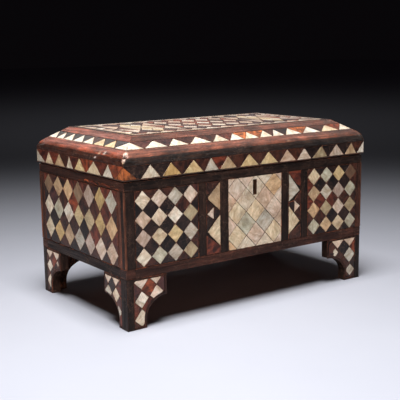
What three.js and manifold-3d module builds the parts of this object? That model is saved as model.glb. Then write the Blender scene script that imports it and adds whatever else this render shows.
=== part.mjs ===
// Inlaid wooden casket on four bracket feet, with a bevelled lift-off lid.
//
// A hollow box of plain boards carries a thin skin of inlay on every face: mother-of-pearl tiles let
// into plates of tortoiseshell and dark wood, between dark wood strips. The lid is a mitred frame of
// four bevelled rails around a flat board, hollow beneath, and it rests on the rim of the box.
//
// Millimetres, +Z up. The origin is on the surface the casket stands on, under the middle of the box.
// +X runs to the right along the front, and the front faces -Y.

import * as THREE from 'three';
import { mergeVertices } from 'three/addons/utils/BufferGeometryUtils.js';
import Module from 'manifold-3d';

const wasm = await Module();
wasm.setup();

// ---------------------------------------------------------------- driving dimensions

const bodyWidth = 400;
const bodyDepth = 231;
const footHeight = 65;
const bodyTop = 185.4;

const boardThickness = 12;
const floorThickness = 10;

const skin = 2.0; // thickness of every inlay plate and strip
const pearlThickness = 1.0; // mother-of-pearl tiles are let into the plate's outer half
const gap = 0.3; // glue line between neighbouring pieces
const tipOverlap = 0.2; // how far neighbouring tiles grow into each other at their tips
const fusedFoot = 0.5; // height at which the feet of neighbouring triangles run together
const gridMargin = 1.0; // between the outermost tips of a grid of tiles and its panel's edge

const panelBottom = 77.5;
const panelTop = 172.5;

const keyhole = { width: 6.6, bottom: 147.5, top: 168 };

const lidBottom = 186;
const lidTop = 235.5;
const lidOverhang = 2.2;
const bandBottom = 187.3;
const bandTop = 203.8;
const slopeStart = { inset: 5, height: 217.5 };
const slopeEnd = { inset: 33, height: lidTop };
const slopeTiles = { inner: 23.2, outer: 11.1 }; // insets between which the slope carries its tiles
const railWall = 13; // inset of the lid rail's inner face
const lidBoardThickness = 9.7;

const bracketThickness = 12.5;

// ---------------------------------------------------------------- materials

function finish(color, roughness) {
  return new THREE.MeshStandardMaterial({ color, roughness, metalness: 0 });
}

const paints = {
  pearl: () => finish(0xd9cdbd, 0.35),
  shell: () => finish(0x5c2f22, 0.4),
  darkWood: () => finish(0x33241f, 0.55),
  boxWood: () => finish(0x6b4a35, 0.75),
};

// ---------------------------------------------------------------- solids

function solidOf(geometry) {
  geometry.deleteAttribute('normal');
  geometry.deleteAttribute('uv');
  const merged = mergeVertices(geometry, 1e-4);
  return new wasm.Manifold(new wasm.Mesh({
    numProp: 3,
    vertProperties: new Float32Array(merged.attributes.position.array),
    triVerts: new Uint32Array(merged.index.array),
  }));
}

function geometryOf(solid) {
  const mesh = solid.getMesh();
  const geometry = new THREE.BufferGeometry();
  geometry.setAttribute('position', new THREE.BufferAttribute(mesh.vertProperties, 3));
  geometry.setIndex(new THREE.BufferAttribute(mesh.triVerts, 1));
  return geometry;
}

// A plate in the plane of a face: the outline is in x and y, +z points out of the face, and the
// plate lies between two depths below the finished surface at z = 0.
function plate(outline, deep, shallow = 0, placement = null) {
  const shape = new THREE.Shape(outline.map(([x, y]) => new THREE.Vector2(x, y)));
  const geometry = new THREE.ExtrudeGeometry(shape, { depth: deep - shallow, bevelEnabled: false });
  geometry.translate(0, 0, -deep);
  if (placement) geometry.applyMatrix4(placement);
  return solidOf(geometry);
}

function joined(solids) {
  return solids.reduce((whole, piece) => whole.add(piece));
}

function rectangle(left, right, bottom, top) {
  return [[left, bottom], [right, bottom], [right, top], [left, top]];
}

function lozenge(x, y, width, height) {
  return [[x - width / 2, y], [x, y - height / 2], [x + width / 2, y], [x, y + height / 2]];
}

// Moves every edge of a convex outline outwards by a distance, or inwards when it is negative.
function grown(outline, distance) {
  const corners = THREE.ShapeUtils.isClockWise(outline.map(([x, y]) => new THREE.Vector2(x, y)))
    ? [...outline].reverse()
    : outline;
  return corners.map((corner, k) => {
    const before = corners[(k + corners.length - 1) % corners.length];
    const after = corners[(k + 1) % corners.length];
    const a = new THREE.Vector2(corner[0] - before[0], corner[1] - before[1]).normalize();
    const b = new THREE.Vector2(after[0] - corner[0], after[1] - corner[1]).normalize();
    const normal = new THREE.Vector2(a.y + b.y, -a.x - b.x);
    normal.multiplyScalar(distance / (1 + a.dot(b)));
    return [corner[0] + normal.x, corner[1] + normal.y];
  });
}

// ---------------------------------------------------------------- inlay

// The pearl tiles of one panel, fused where their tips meet and trimmed to the panel.
function pearlTiles(outline, tiles, placement = null) {
  const pieces = tiles.map((tile) => plate(grown(tile, tipOverlap), pearlThickness, 0, placement));
  const trim = plate(outline, pearlThickness + gap, -1, placement);
  return joined(pieces).intersect(trim);
}

// The seats of those tiles, a glue line larger all round.
function tileSeats(tiles, placement = null) {
  const size = tipOverlap + gap;
  const deep = pearlThickness + gap;
  return joined(tiles.map((tile) => plate(grown(tile, size), deep, -1, placement)));
}

// Lozenges that meet at their tips, with a narrow margin between the outer tips and the panel's edge.
function lozengeGrid(left, right, bottom, top, columns, rows) {
  const width = (right - left - 2 * gridMargin) / columns;
  const height = (top - bottom - 2 * gridMargin) / rows;
  const tiles = [];
  for (let row = 0; row < rows; row += 1) {
    for (let column = 0; column < columns; column += 1) {
      const x = left + gridMargin + width * (column + 0.5);
      const y = bottom + gridMargin + height * (row + 0.5);
      tiles.push(lozenge(x, y, width, height));
    }
  }
  return tiles;
}

// The outline of a row of triangles standing side by side on one base line, fused where their bases
// meet. It starts and ends with half a triangle where halves are asked for.
function toothedRow(halfLength, count, base, apex, halves) {
  const pitch = (2 * halfLength) / (halves ? count + 1 : count);
  const outline = [[-halfLength, base], [halfLength, base]];
  if (halves) outline.push([halfLength, apex], [halfLength - pitch / 2, base + fusedFoot]);
  for (let k = count - 1; k >= 0; k -= 1) {
    const middle = -halfLength + pitch * (halves ? k + 1 : k + 0.5);
    outline.push([middle, apex]);
    if (k > 0 || halves) outline.push([middle - pitch / 2, base + fusedFoot]);
  }
  if (halves) outline.push([-halfLength, apex]);
  return outline;
}

// ---------------------------------------------------------------- scene graph

const casket = new THREE.Group();

function addMesh(parent, name, solid, material) {
  const mesh = new THREE.Mesh(geometryOf(solid), material);
  mesh.name = name;
  parent.add(mesh);
}

// The four upright faces. In a face's own frame x runs to the right as seen from outside, y is the
// height above the feet, and z = 0 is the finished surface.
const faces = {
  front: { turn: 0, halfLength: bodyWidth / 2, distance: bodyDepth / 2 },
  right: { turn: Math.PI / 2, halfLength: bodyDepth / 2, distance: bodyWidth / 2 },
  back: { turn: Math.PI, halfLength: bodyWidth / 2, distance: bodyDepth / 2 },
  left: { turn: -Math.PI / 2, halfLength: bodyDepth / 2, distance: bodyWidth / 2 },
};

function faceMatrix(face) {
  const upright = new THREE.Matrix4().makeRotationX(Math.PI / 2);
  const moved = new THREE.Matrix4().makeTranslation(0, -face.distance, 0);
  const turned = new THREE.Matrix4().makeRotationZ(face.turn);
  return turned.multiply(moved).multiply(upright);
}

for (const face of Object.values(faces)) {
  const turned = new THREE.Group();
  turned.rotation.z = face.turn;
  casket.add(turned);
  face.plane = new THREE.Group();
  face.plane.position.y = -face.distance;
  face.plane.rotation.x = Math.PI / 2;
  turned.add(face.plane);
}

// ---------------------------------------------------------------- boards of the box

const boardDepth = skin + gap; // the boards start this far under the finished faces
const wallInset = boardDepth + boardThickness;

function wallBoard(face, endInset) {
  const half = face.halfLength - endInset;
  return plate(rectangle(-half, half, footHeight, bodyTop), wallInset, boardDepth);
}

const keySlot = rectangle(-keyhole.width / 2, keyhole.width / 2, keyhole.bottom, keyhole.top);

const frontBoard = wallBoard(faces.front, boardDepth).subtract(plate(keySlot, wallInset + 1, -1));
addMesh(faces.front.plane, 'wall_front', frontBoard, paints.boxWood());
addMesh(faces.back.plane, 'wall_back', wallBoard(faces.back, boardDepth), paints.boxWood());
addMesh(faces.left.plane, 'wall_left', wallBoard(faces.left, wallInset + gap), paints.boxWood());
addMesh(faces.right.plane, 'wall_right', wallBoard(faces.right, wallInset + gap), paints.boxWood());

const floorHalfWidth = bodyWidth / 2 - wallInset - gap;
const floorHalfDepth = bodyDepth / 2 - wallInset - gap;
const floorOutline = rectangle(-floorHalfWidth, floorHalfWidth, -floorHalfDepth, floorHalfDepth);
const floorLayer = new THREE.Group();
floorLayer.position.z = footHeight + floorThickness;
casket.add(floorLayer);
addMesh(floorLayer, 'floor_board', plate(floorOutline, floorThickness), paints.boxWood());

// ---------------------------------------------------------------- strips and panels

// Dark strips with an opening for every panel, cut out a glue line larger than the panels.
function stripWork(halfLength, panels) {
  const sheet = plate(rectangle(-halfLength, halfLength, footHeight, bodyTop), skin);
  const openings = panels.map(([left, right]) => {
    const hole = rectangle(left - gap, right + gap, panelBottom - gap, panelTop + gap);
    return plate(hole, skin + 1, -1);
  });
  return sheet.subtract(joined(openings));
}

function addPanel(face, name, left, right, tiles) {
  const outline = rectangle(left, right, panelBottom, panelTop);
  const shell = plate(outline, skin).subtract(tileSeats(tiles));
  addMesh(face.plane, `${name}_pearls`, pearlTiles(outline, tiles), paints.pearl());
  addMesh(face.plane, `${name}_shell`, shell, paints.shell());
}

// Front: a lozenge panel at each end, a narrow stile beside each, and the all-pearl middle panel.
const middlePanel = [-44.5, 46.5];
const stilePanels = { left: [-79.8, -57.8], right: [60, 82] };
const lozengePanels = { left: [-186.5, -92.5], right: [95, 190.5] };

const frontPanels = [middlePanel, ...Object.values(stilePanels), ...Object.values(lozengePanels)];
addMesh(faces.front.plane, 'front_strips', stripWork(bodyWidth / 2, frontPanels), paints.darkWood());

for (const [end, [left, right]] of Object.entries(lozengePanels)) {
  const tiles = lozengeGrid(left, right, panelBottom, panelTop, 4, 4);
  addPanel(faces.front, `front_${end}`, left, right, tiles);
}

// Each stile has two tall pearl triangles on its inner edge, and a small one between them that
// points outwards.
const stileTriangles = { high: 171, waist: 131.5, low: 87, smallHalf: 11.6, smallDepth: 0.52 };

function stileTiles(inner, outer) {
  const { high, waist, low, smallHalf, smallDepth } = stileTriangles;
  const flat = outer + (inner - outer) * smallDepth;
  const tip = outer + Math.sign(inner - outer) * 1.5;
  return [
    [[inner, waist + 1], [inner, high], [tip, (high + waist) / 2]],
    [[inner, low], [inner, waist - 1], [tip, (waist + low) / 2]],
    [[flat, waist - smallHalf], [flat, waist + smallHalf], [outer + Math.sign(inner - outer), waist]],
  ];
}

const [stileLeftOuter, stileLeftInner] = stilePanels.left;
const [stileRightInner, stileRightOuter] = stilePanels.right;
const leftStileTiles = stileTiles(stileLeftInner, stileLeftOuter);
const rightStileTiles = stileTiles(stileRightInner, stileRightOuter);
addPanel(faces.front, 'front_stile_left', stileLeftOuter, stileLeftInner, leftStileTiles);
addPanel(faces.front, 'front_stile_right', stileRightInner, stileRightOuter, rightStileTiles);

// The middle panel is pearl all over: square tiles set cornerwise, with narrow joints between them.
const middleTiles = { diagonal: 32, centreX: 2.5, centreY: 127, joint: 0.8, jointDepth: 0.6 };

function cornerwiseJoints() {
  const { diagonal, centreX, centreY, joint, jointDepth } = middleTiles;
  const side = diagonal / Math.SQRT2;
  const reach = 100;
  const joints = [];
  for (const slant of [Math.PI / 4, -Math.PI / 4]) {
    const placement = new THREE.Matrix4().makeTranslation(centreX, centreY, 0);
    placement.multiply(new THREE.Matrix4().makeRotationZ(slant));
    for (let line = -2.5; line <= 2.5; line += 1) {
      const middle = line * side;
      const bar = rectangle(-reach, reach, middle - joint / 2, middle + joint / 2);
      joints.push(plate(bar, jointDepth, -1, placement));
    }
  }
  return joined(joints);
}

const middleSheet = plate(rectangle(...middlePanel, panelBottom, panelTop), skin)
  .subtract(cornerwiseJoints())
  .subtract(plate(keySlot, skin + 1, -1));
addMesh(faces.front.plane, 'front_middle_pearls', middleSheet, paints.pearl());

// Ends: one wide panel, with a broad strip next to the front corner.
const endPanels = { left: [-103, 97], right: [-97, 103] };
const endHalfLength = bodyDepth / 2 - skin - gap;

for (const [name, [left, right]] of Object.entries(endPanels)) {
  const tiles = lozengeGrid(left, right, panelBottom + 1, panelTop, 7, 3);
  const strips = stripWork(endHalfLength, [[left, right]]);
  addMesh(faces[name].plane, `${name}_strips`, strips, paints.darkWood());
  addPanel(faces[name], name, left, right, tiles);
}

// Back: two panels of larger lozenges and a plain one between them.
const backMiddlePanel = [-44.5, 44.5];
const backPanels = { left: [-187, -58], right: [58, 187] };

const backOpenings = [backMiddlePanel, ...Object.values(backPanels)];
addMesh(faces.back.plane, 'back_strips', stripWork(bodyWidth / 2, backOpenings), paints.darkWood());
for (const [end, [left, right]] of Object.entries(backPanels)) {
  const tiles = lozengeGrid(left, right, panelBottom, panelTop, 3, 2);
  addPanel(faces.back, `back_${end}`, left, right, tiles);
}
const backVeneer = plate(rectangle(...backMiddlePanel, panelBottom, panelTop), skin);
addMesh(faces.back.plane, 'back_middle_veneer', backVeneer, paints.shell());

// ---------------------------------------------------------------- bracket feet

// Each foot is two brackets mitred at the corner of the box. A bracket is straight down its end near
// the top, then hollows in a quarter ellipse to a narrow foot.
const bracketShape = { shoulder: 38, ankle: 12, arcSteps: 5, seam: 0.3 };
const footTiles = { width: 22, height: 24, firstX: 20.5, firstY: 61.5 };
const footTilePlaces = [[0, 0], [1, 0], [0, 1], [1, 1], [0, 2]];
const footBorder = { corner: 10, curve: 3.5, top: 2.2, bottom: 3 };

// Ends are left and right as seen from outside the face. The brackets on the back carry no tiles.
const brackets = [
  { face: 'front', end: 'left', width: 57.5, toe: 27.5, tiled: true },
  { face: 'front', end: 'right', width: 65, toe: 30, tiled: true },
  { face: 'right', end: 'left', width: 56.5, toe: 21.5, tiled: true },
  { face: 'right', end: 'right', width: 52, toe: 23, tiled: true },
  { face: 'back', end: 'left', width: 60, toe: 28, tiled: false },
  { face: 'back', end: 'right', width: 60, toe: 28, tiled: false },
  { face: 'left', end: 'left', width: 52, toe: 23, tiled: true },
  { face: 'left', end: 'right', width: 56.5, toe: 21.5, tiled: true },
];

// The outline in distance from the corner and height, shrunk by the border's widths.
function bracketOutline(width, toe, border) {
  const { shoulder, ankle, arcSteps } = bracketShape;
  const topEdge = footHeight - gap - border.top;
  const points = [[border.corner, border.bottom], [toe - border.curve, border.bottom]];
  for (let step = 0; step <= arcSteps; step += 1) {
    const angle = Math.PI - (Math.PI / 2) * (step / arcSteps);
    const x = width + (width - toe) * Math.cos(angle);
    const y = ankle + (shoulder - ankle) * Math.sin(angle);
    points.push([x - border.curve, y + border.curve * Math.sin(angle)]);
  }
  points.push([width - border.curve, topEdge], [border.corner, topEdge]);
  return points;
}

// What lies beyond the upright mitre plane at one end of a face. End is -1 at the left, +1 at the
// right, and the wedge stands between two heights. The seam is the width left open at the mitre.
function mitreWedge(halfLength, end, deep, low, high, seam, placement = null) {
  const clear = (seam / 2) * Math.SQRT2;
  const far = deep + 2;
  const outline = [[-far, clear + far], [-far, -far], [far + clear, -far]];
  const shape = new THREE.Shape(outline.map(([u, z]) => new THREE.Vector2(end * (halfLength - u), z)));
  const geometry = new THREE.ExtrudeGeometry(shape, { depth: high - low, bevelEnabled: false });
  geometry.rotateX(Math.PI / 2);
  geometry.translate(0, high, 0);
  if (placement) geometry.applyMatrix4(placement);
  return solidOf(geometry);
}

function addBracket({ face: faceName, end, width, toe, tiled }) {
  const face = faces[faceName];
  const name = `foot_${faceName}_${end}`;
  const side = end === 'left' ? -1 : 1;
  const toFace = ([u, y]) => [side * (face.halfLength - u), y];
  const noBorder = { corner: 0, curve: 0, top: 0, bottom: 0 };
  const outline = bracketOutline(width, toe, noBorder).map(toFace);
  const wedge = mitreWedge(face.halfLength, side, bracketThickness, -1, footHeight, bracketShape.seam);
  const blank = plate(outline, bracketThickness).subtract(wedge);
  if (!tiled) {
    addMesh(face.plane, name, blank, paints.darkWood());
    return;
  }
  const tiles = footTilePlaces.map(([column, row]) => {
    const u = footTiles.firstX + column * footTiles.width;
    const y = footTiles.firstY - row * footTiles.height;
    return lozenge(...toFace([u, y]), footTiles.width, footTiles.height);
  });
  const seatField = bracketOutline(width, toe, footBorder).map(toFace);
  const tileField = bracketOutline(width, toe, {
    corner: footBorder.corner + gap,
    curve: footBorder.curve + gap,
    top: footBorder.top + gap,
    bottom: footBorder.bottom + gap,
  }).map(toFace);
  const seats = tileSeats(tiles).intersect(plate(seatField, pearlThickness + gap, -1));
  addMesh(face.plane, name, blank.subtract(seats), paints.darkWood());
  addMesh(face.plane, `${name}_pearls`, pearlTiles(tileField, tiles), paints.pearl());
}

brackets.forEach(addBracket);

// ---------------------------------------------------------------- lid rails

const slopeRun = slopeEnd.inset - slopeStart.inset;
const slopeRise = slopeEnd.height - slopeStart.height;
const slopeLength = Math.hypot(slopeRun, slopeRise);
const slopeAngle = Math.atan2(slopeRise, slopeRun);

// A point on the slope at an inset from the body's face, moved a depth into the rail.
function onSlope(inset, depth) {
  const height = slopeStart.height + ((inset - slopeStart.inset) * slopeRise) / slopeRun;
  return [
    -inset - depth * Math.sin(slopeAngle),
    height - depth * Math.cos(slopeAngle),
  ];
}

// The section of a lid rail, as distance out from the body's face and height. It has a shallow seat
// for the band of tiles on its upright side and another for the tiles on its slope.
function railSection() {
  const seat = skin + gap;
  const along = (gap * slopeRun) / slopeLength;
  return [
    [lidOverhang - 0.4, lidBottom],
    [lidOverhang - 0.2, bandBottom - gap],
    [lidOverhang - seat, bandBottom - gap],
    [lidOverhang - seat, bandTop + gap],
    [lidOverhang, bandTop + gap],
    [lidOverhang - 0.4, 207.5],
    [0.6, 211.5],
    [-1.6, 214.8],
    [-slopeStart.inset, slopeStart.height],
    onSlope(slopeTiles.outer - along, 0),
    onSlope(slopeTiles.outer - along, seat),
    onSlope(slopeTiles.inner + along, seat),
    onSlope(slopeTiles.inner + along, 0),
    [-slopeEnd.inset, slopeEnd.height],
    [-slopeEnd.inset, slopeEnd.height - skin - lidBoardThickness - gap],
    [-railWall, 210.5],
    [-railWall, lidBottom],
  ];
}

function railSolid(face) {
  const shape = new THREE.Shape(railSection().map(([out, height]) => new THREE.Vector2(out, height)));
  const length = 2 * (face.halfLength + lidOverhang);
  const geometry = new THREE.ExtrudeGeometry(shape, { depth: length, bevelEnabled: false });
  // Section x becomes the face's outward z, and the extrusion runs along the face's x.
  geometry.rotateY(-Math.PI / 2);
  geometry.translate(length / 2, 0, 0);
  const wedges = [-1, 1].map((side) => (
    mitreWedge(face.halfLength, side, slopeEnd.inset, lidBottom - 1, lidTop + 1, gap)
  ));
  return solidOf(geometry).subtract(joined(wedges));
}

for (const [name, face] of Object.entries(faces)) {
  addMesh(face.plane, `lid_rail_${name}`, railSolid(face), paints.darkWood());
}

// ---------------------------------------------------------------- lid band and slope tiles

const bandCounts = { front: 12, right: 6, back: 12, left: 6 };
const slopeCounts = { front: 13, right: 8, back: 13, left: 8 };
const cornerLap = 0.1; // how far the tiles of two sides reach into each other at a corner

function addRing(name, layout) {
  const pearls = [];
  const plates = [];
  const seats = [];
  for (const [side, face] of Object.entries(faces)) {
    const { outline, tiles, placement } = layout(side, face);
    const beyond = joined([-1, 1].map((end) => (
      mitreWedge(face.halfLength, end, slopeEnd.inset, lidBottom, lidTop, -cornerLap, faceMatrix(face))
    )));
    pearls.push(pearlTiles(outline, tiles, placement).subtract(beyond));
    plates.push(plate(outline, skin, 0, placement).subtract(beyond));
    seats.push(tileSeats(tiles, placement));
  }
  addMesh(casket, `${name}_pearls`, joined(pearls), paints.pearl());
  addMesh(casket, `${name}_shell`, joined(plates).subtract(joined(seats)), paints.shell());
}

addRing('lid_band', (side, face) => {
  const half = face.halfLength + lidOverhang;
  const placement = faceMatrix(face).multiply(new THREE.Matrix4().makeTranslation(0, 0, lidOverhang));
  return {
    outline: rectangle(-half, half, bandBottom, bandTop),
    tiles: [toothedRow(half, bandCounts[side], bandBottom, bandTop - 0.8, true)],
    placement,
  };
});

addRing('lid_slope', (side, face) => {
  const [out, height] = onSlope(slopeTiles.outer, 0);
  const tilesHeight = ((slopeTiles.inner - slopeTiles.outer) * slopeLength) / slopeRun;
  const low = face.halfLength - slopeTiles.outer;
  const high = face.halfLength - slopeTiles.inner;
  const placement = faceMatrix(face).multiply(new THREE.Matrix4().makeTranslation(0, height, out));
  placement.multiply(new THREE.Matrix4().makeRotationX(slopeAngle - Math.PI / 2));
  return {
    outline: [[-low, 0], [low, 0], [high, tilesHeight], [-high, tilesHeight]],
    tiles: [toothedRow(low, slopeCounts[side], 0, tilesHeight - 0.6, false)],
    placement,
  };
});

// ---------------------------------------------------------------- lid board and its inlay

const boardHalfWidth = bodyWidth / 2 - slopeEnd.inset - gap;
const boardHalfDepth = bodyDepth / 2 - slopeEnd.inset - gap;
const topOutline = rectangle(-boardHalfWidth, boardHalfWidth, -boardHalfDepth, boardHalfDepth);
const topLayer = new THREE.Group();
topLayer.position.z = lidTop;
casket.add(topLayer);

const lidBoard = plate(topOutline, skin + lidBoardThickness, skin + gap);
addMesh(topLayer, 'lid_board', lidBoard, paints.boxWood());

// A pearl fillet runs round the board, inside a dark border. Within it are three fields: an
// hourglass of pearl at each end and a grid of small lozenges in the middle.
const topBorder = 7;
const filletWidth = 4.5;
const fieldInset = topBorder + filletWidth + 5;
const middleFieldHalf = 62;
const fieldGap = 8;
const fieldHalfWidth = boardHalfWidth - fieldInset;
const fieldHalfDepth = boardHalfDepth - fieldInset;

function filletRing(grow, deep, shallow) {
  const outer = grown(topOutline, grow - topBorder);
  const inner = grown(topOutline, -grow - topBorder - filletWidth);
  return plate(outer, deep, shallow).subtract(plate(inner, deep + 1, shallow - 1));
}

// Two triangles point to point, with a small lozenge above and below their meeting point.
function hourglassTiles(left, right) {
  const middle = (left + right) / 2;
  const smallWidth = (right - left) * 0.44;
  const smallHeight = fieldHalfDepth;
  return [
    [[left, -fieldHalfDepth], [middle, 0], [left, fieldHalfDepth]],
    [[right, -fieldHalfDepth], [right, fieldHalfDepth], [middle, 0]],
    lozenge(middle, fieldHalfDepth / 2, smallWidth, smallHeight),
    lozenge(middle, -fieldHalfDepth / 2, smallWidth, smallHeight),
  ];
}

const topFields = {
  left: hourglassTiles(-fieldHalfWidth, -middleFieldHalf - fieldGap),
  middle: lozengeGrid(-middleFieldHalf, middleFieldHalf, -fieldHalfDepth, fieldHalfDepth, 3, 3),
  right: hourglassTiles(middleFieldHalf + fieldGap, fieldHalfWidth),
};

let topVeneer = plate(topOutline, skin).subtract(filletRing(gap, pearlThickness + gap, -1));
for (const [name, tiles] of Object.entries(topFields)) {
  topVeneer = topVeneer.subtract(tileSeats(tiles));
  addMesh(topLayer, `lid_top_${name}_pearls`, pearlTiles(topOutline, tiles), paints.pearl());
}
addMesh(topLayer, 'lid_top_fillet', filletRing(0, pearlThickness, 0), paints.pearl());
addMesh(topLayer, 'lid_top_veneer', topVeneer, paints.shell());

export default casket;
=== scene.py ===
# %% [markdown]
# # An inlaid casket
# This lesson dresses a wooden casket in the Ottoman manner. Every side of it is covered with
# small tiles of mother-of-pearl and tortoiseshell between strips of dark wood, and it stands on
# four bracket feet. The solid model gives the sizes and places. Here each tile, strip and rail
# becomes a shape of its own, with uneven edges, joints, chips and wear, and each finish becomes a
# procedural material.

import math
import random

import bpy
import numpy as np
from mathutils import Matrix, Vector, noise


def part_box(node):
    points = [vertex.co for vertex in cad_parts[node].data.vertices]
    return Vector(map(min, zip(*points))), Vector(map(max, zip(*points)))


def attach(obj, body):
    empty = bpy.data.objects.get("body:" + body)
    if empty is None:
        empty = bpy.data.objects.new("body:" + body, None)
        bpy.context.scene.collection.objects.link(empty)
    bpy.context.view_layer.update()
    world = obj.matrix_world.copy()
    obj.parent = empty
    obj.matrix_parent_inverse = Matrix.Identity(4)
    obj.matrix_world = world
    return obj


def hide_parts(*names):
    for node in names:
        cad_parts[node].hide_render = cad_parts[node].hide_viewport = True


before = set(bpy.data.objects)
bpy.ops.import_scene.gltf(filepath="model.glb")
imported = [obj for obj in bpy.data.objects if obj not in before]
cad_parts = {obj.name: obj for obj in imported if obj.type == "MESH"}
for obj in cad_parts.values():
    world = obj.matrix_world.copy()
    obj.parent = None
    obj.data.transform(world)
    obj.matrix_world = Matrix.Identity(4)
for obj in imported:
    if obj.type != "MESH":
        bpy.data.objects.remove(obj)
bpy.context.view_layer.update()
MM = 0.001
print("solid model:", len(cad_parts), "nodes")

# %% [markdown]
# ## Camera
# The camera looks a little down at the front-left corner through a long lens, as for a catalogue
# picture. Its place is given by the point it looks at, a distance and three angles. A position
# and a rotation follow from these.

# %% Camera
def look_at_casket(target, distance, azimuth, elevation, roll, lens):
    """Azimuth is measured from straight in front of the casket, to its right."""
    a, e = math.radians(azimuth), math.radians(elevation)
    back = Vector((math.sin(a) * math.cos(e), -math.cos(a) * math.cos(e), math.sin(e)))
    side = Vector((0, 0, 1)).cross(back).normalized()
    up = back.cross(side)
    tilt = Matrix.Rotation(math.radians(roll), 3, back)
    turn = Matrix((tilt @ side, tilt @ up, back)).transposed()
    camera = bpy.data.objects.new("camera", bpy.data.cameras.new("camera"))
    camera.matrix_world = Matrix.Translation(Vector(target) + back * distance) @ turn.to_4x4()
    camera.data.lens = lens
    camera.data.sensor_width = 36
    bpy.context.scene.collection.objects.link(camera)
    return camera


camera = look_at_casket(target=(-0.00687, 0, 0.12465), distance=1.20428, azimuth=-35.69,
                        elevation=10.49, roll=-0.76, lens=75.5)
bpy.context.scene.camera = camera
print("camera at", tuple(round(v, 3) for v in camera.matrix_world.translation))

# %% [markdown]
# ## Light and floor
# The casket stands on a plain pale floor in soft studio light. One square lamp hangs above it, a
# little to the front and the left: it makes the lid shine, and its narrow spread lets the floor
# fall off into the dark behind. A faint lamp far behind on the right leaves a trace of light on
# the floor there. Wide fill lamps in front, at the left and, weaker, behind and at the right show
# the inlay, and three very weak ones put a sheen on the slopes of the lid. A fill lamp would also
# wash out the shadow under the box. Light linking solves that: the lamps that are not for the
# floor get a collection of what they light, in which the floor is set to EXCLUDE. The floor lies
# a fifth of a millimetre below the toes, so the two never share a plane.

# %% Floor
FLOOR_HALF = 12.0
FLOOR_HEIGHT = -0.0002
floor_corners = [(x * FLOOR_HALF, y * FLOOR_HALF, FLOOR_HEIGHT)
                 for x, y in ((-1, -1), (1, -1), (1, 1), (-1, 1))]
floor_mesh = bpy.data.meshes.new("floor")
floor_mesh.from_pydata(floor_corners, [], [(0, 1, 2, 3)])
floor = bpy.data.objects.new("floor", floor_mesh)
bpy.context.scene.collection.objects.link(floor)
print("floor:", 2 * FLOOR_HALF, "m wide")

# %% [markdown]
# Each lamp is a rectangle of light that the camera doesn't see, aimed at a point.

# %% Lamps
casket_only = bpy.data.collections.new("lit_by_fill_lamps")
casket_only.objects.link(floor)
casket_only.collection_objects[0].light_linking.link_state = "EXCLUDE"


def soft_lamp(name, place, aim, size, power, color, spread, on_floor):
    data = bpy.data.lights.new(name, "AREA")
    data.shape = "RECTANGLE"
    data.size, data.size_y = size
    data.energy = power
    data.color = color
    data.spread = math.radians(spread)
    lamp = bpy.data.objects.new(name, data)
    direction = Vector(aim) - Vector(place)
    lamp.rotation_euler = direction.to_track_quat("-Z", "Y").to_euler()
    lamp.location = place
    lamp.visible_camera = False
    if not on_floor:
        lamp.light_linking.receiver_collection = casket_only
    bpy.context.scene.collection.objects.link(lamp)


# Place, aim, size, power, colour, spread in degrees, and whether the lamp lights the floor.
DAYLIGHT = (0.97, 0.98, 1.0)
LAMPS = {
    "top_lamp": ((-0.33, -0.35, 1.7), (-0.3, -0.35, 0), (0.8, 0.8), 10.4, DAYLIGHT, 88, True),
    "far_lamp": ((1.3, 1.9, 2.2), (1.5, 2.1, 0), (1.0, 1.0), 1.5, DAYLIGHT, 180, True),
    "slope_lamp": ((0.75, 0.25, 1.15), (0, 0, 0.2), (0.7, 0.7), 0.25, (1.0, 0.97, 1.0), 60, False),
    "rear_lamp": ((0.1, 1.0, 0.85), (0, 0, 0.2), (0.8, 0.4), 0.25, (1.0, 0.95, 0.92), 60, False),
    "sheen_lamp": ((0.95, 1.3, 0.6), (0, 0, 0.2), (0.9, 0.5), 0.1, (1.0, 0.97, 0.97), 60, False),
    "front_lamp": ((-0.6, -1.15, 1.1), (0, 0, 0.1), (0.9, 0.6), 7.2, (1.0, 0.97, 0.96), 120, False),
    "left_lamp": ((-1.3, -0.3, 1.1), (0, 0, 0.1), (0.8, 0.8), 4.8, (1.0, 0.97, 0.94), 120, False),
    "back_lamp": ((0.08, 1.4, 0.32), (0.04, 0.1, 0.1), (0.5, 0.3), 3.0, (1.0, 0.97, 0.96), 120,
                  False),
    "right_lamp": ((1.4, 0.05, 0.5), (0.1, 0, 0.08), (0.6, 0.4), 2.4, (1.0, 0.97, 0.95), 120,
                   False)}
for name, settings in LAMPS.items():
    soft_lamp(name, *settings)

DARK_STUDIO = (0.0025, 0.002, 0.0026, 1)
world = bpy.data.worlds.new("studio")
world.use_nodes = True
world.node_tree.nodes["Background"].inputs["Color"].default_value = DARK_STUDIO
bpy.context.scene.world = world
bpy.context.scene.view_settings.view_transform = "Standard"

print("lamps:", len(LAMPS), "and the floor")

# %% [markdown]
# ## Building blocks for materials
# A material is a network of nodes. Small helpers keep the networks short: one adds a node and
# fills its sockets, one starts a node group with named sockets, and the rest stand for kinds of
# node that come back all the time. A group is a finish effect that several materials share.

# %% Helpers for node networks
def add(tree, kind, sockets=None, **settings):
    """Adds a node. A socket's value may be a number, a colour or another node's output."""
    node = tree.nodes.new(kind)
    for key, value in settings.items():
        setattr(node, key, value)
    for key, value in (sockets or {}).items():
        if isinstance(value, bpy.types.NodeSocket):
            tree.links.new(value, node.inputs[key])
        else:
            node.inputs[key].default_value = value
    return node


def linear(code):
    """A colour written as on a paint card, turned into the linear values that Blender mixes."""
    values = [int(code[k:k + 2], 16) / 255 for k in (0, 2, 4)]
    return tuple(v / 12.92 if v < 0.04045 else ((v + 0.055) / 1.055) ** 2.4 for v in values)


SOCKET_KINDS = {"color": "NodeSocketColor", "vector": "NodeSocketVector",
                "value": "NodeSocketFloat"}


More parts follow.
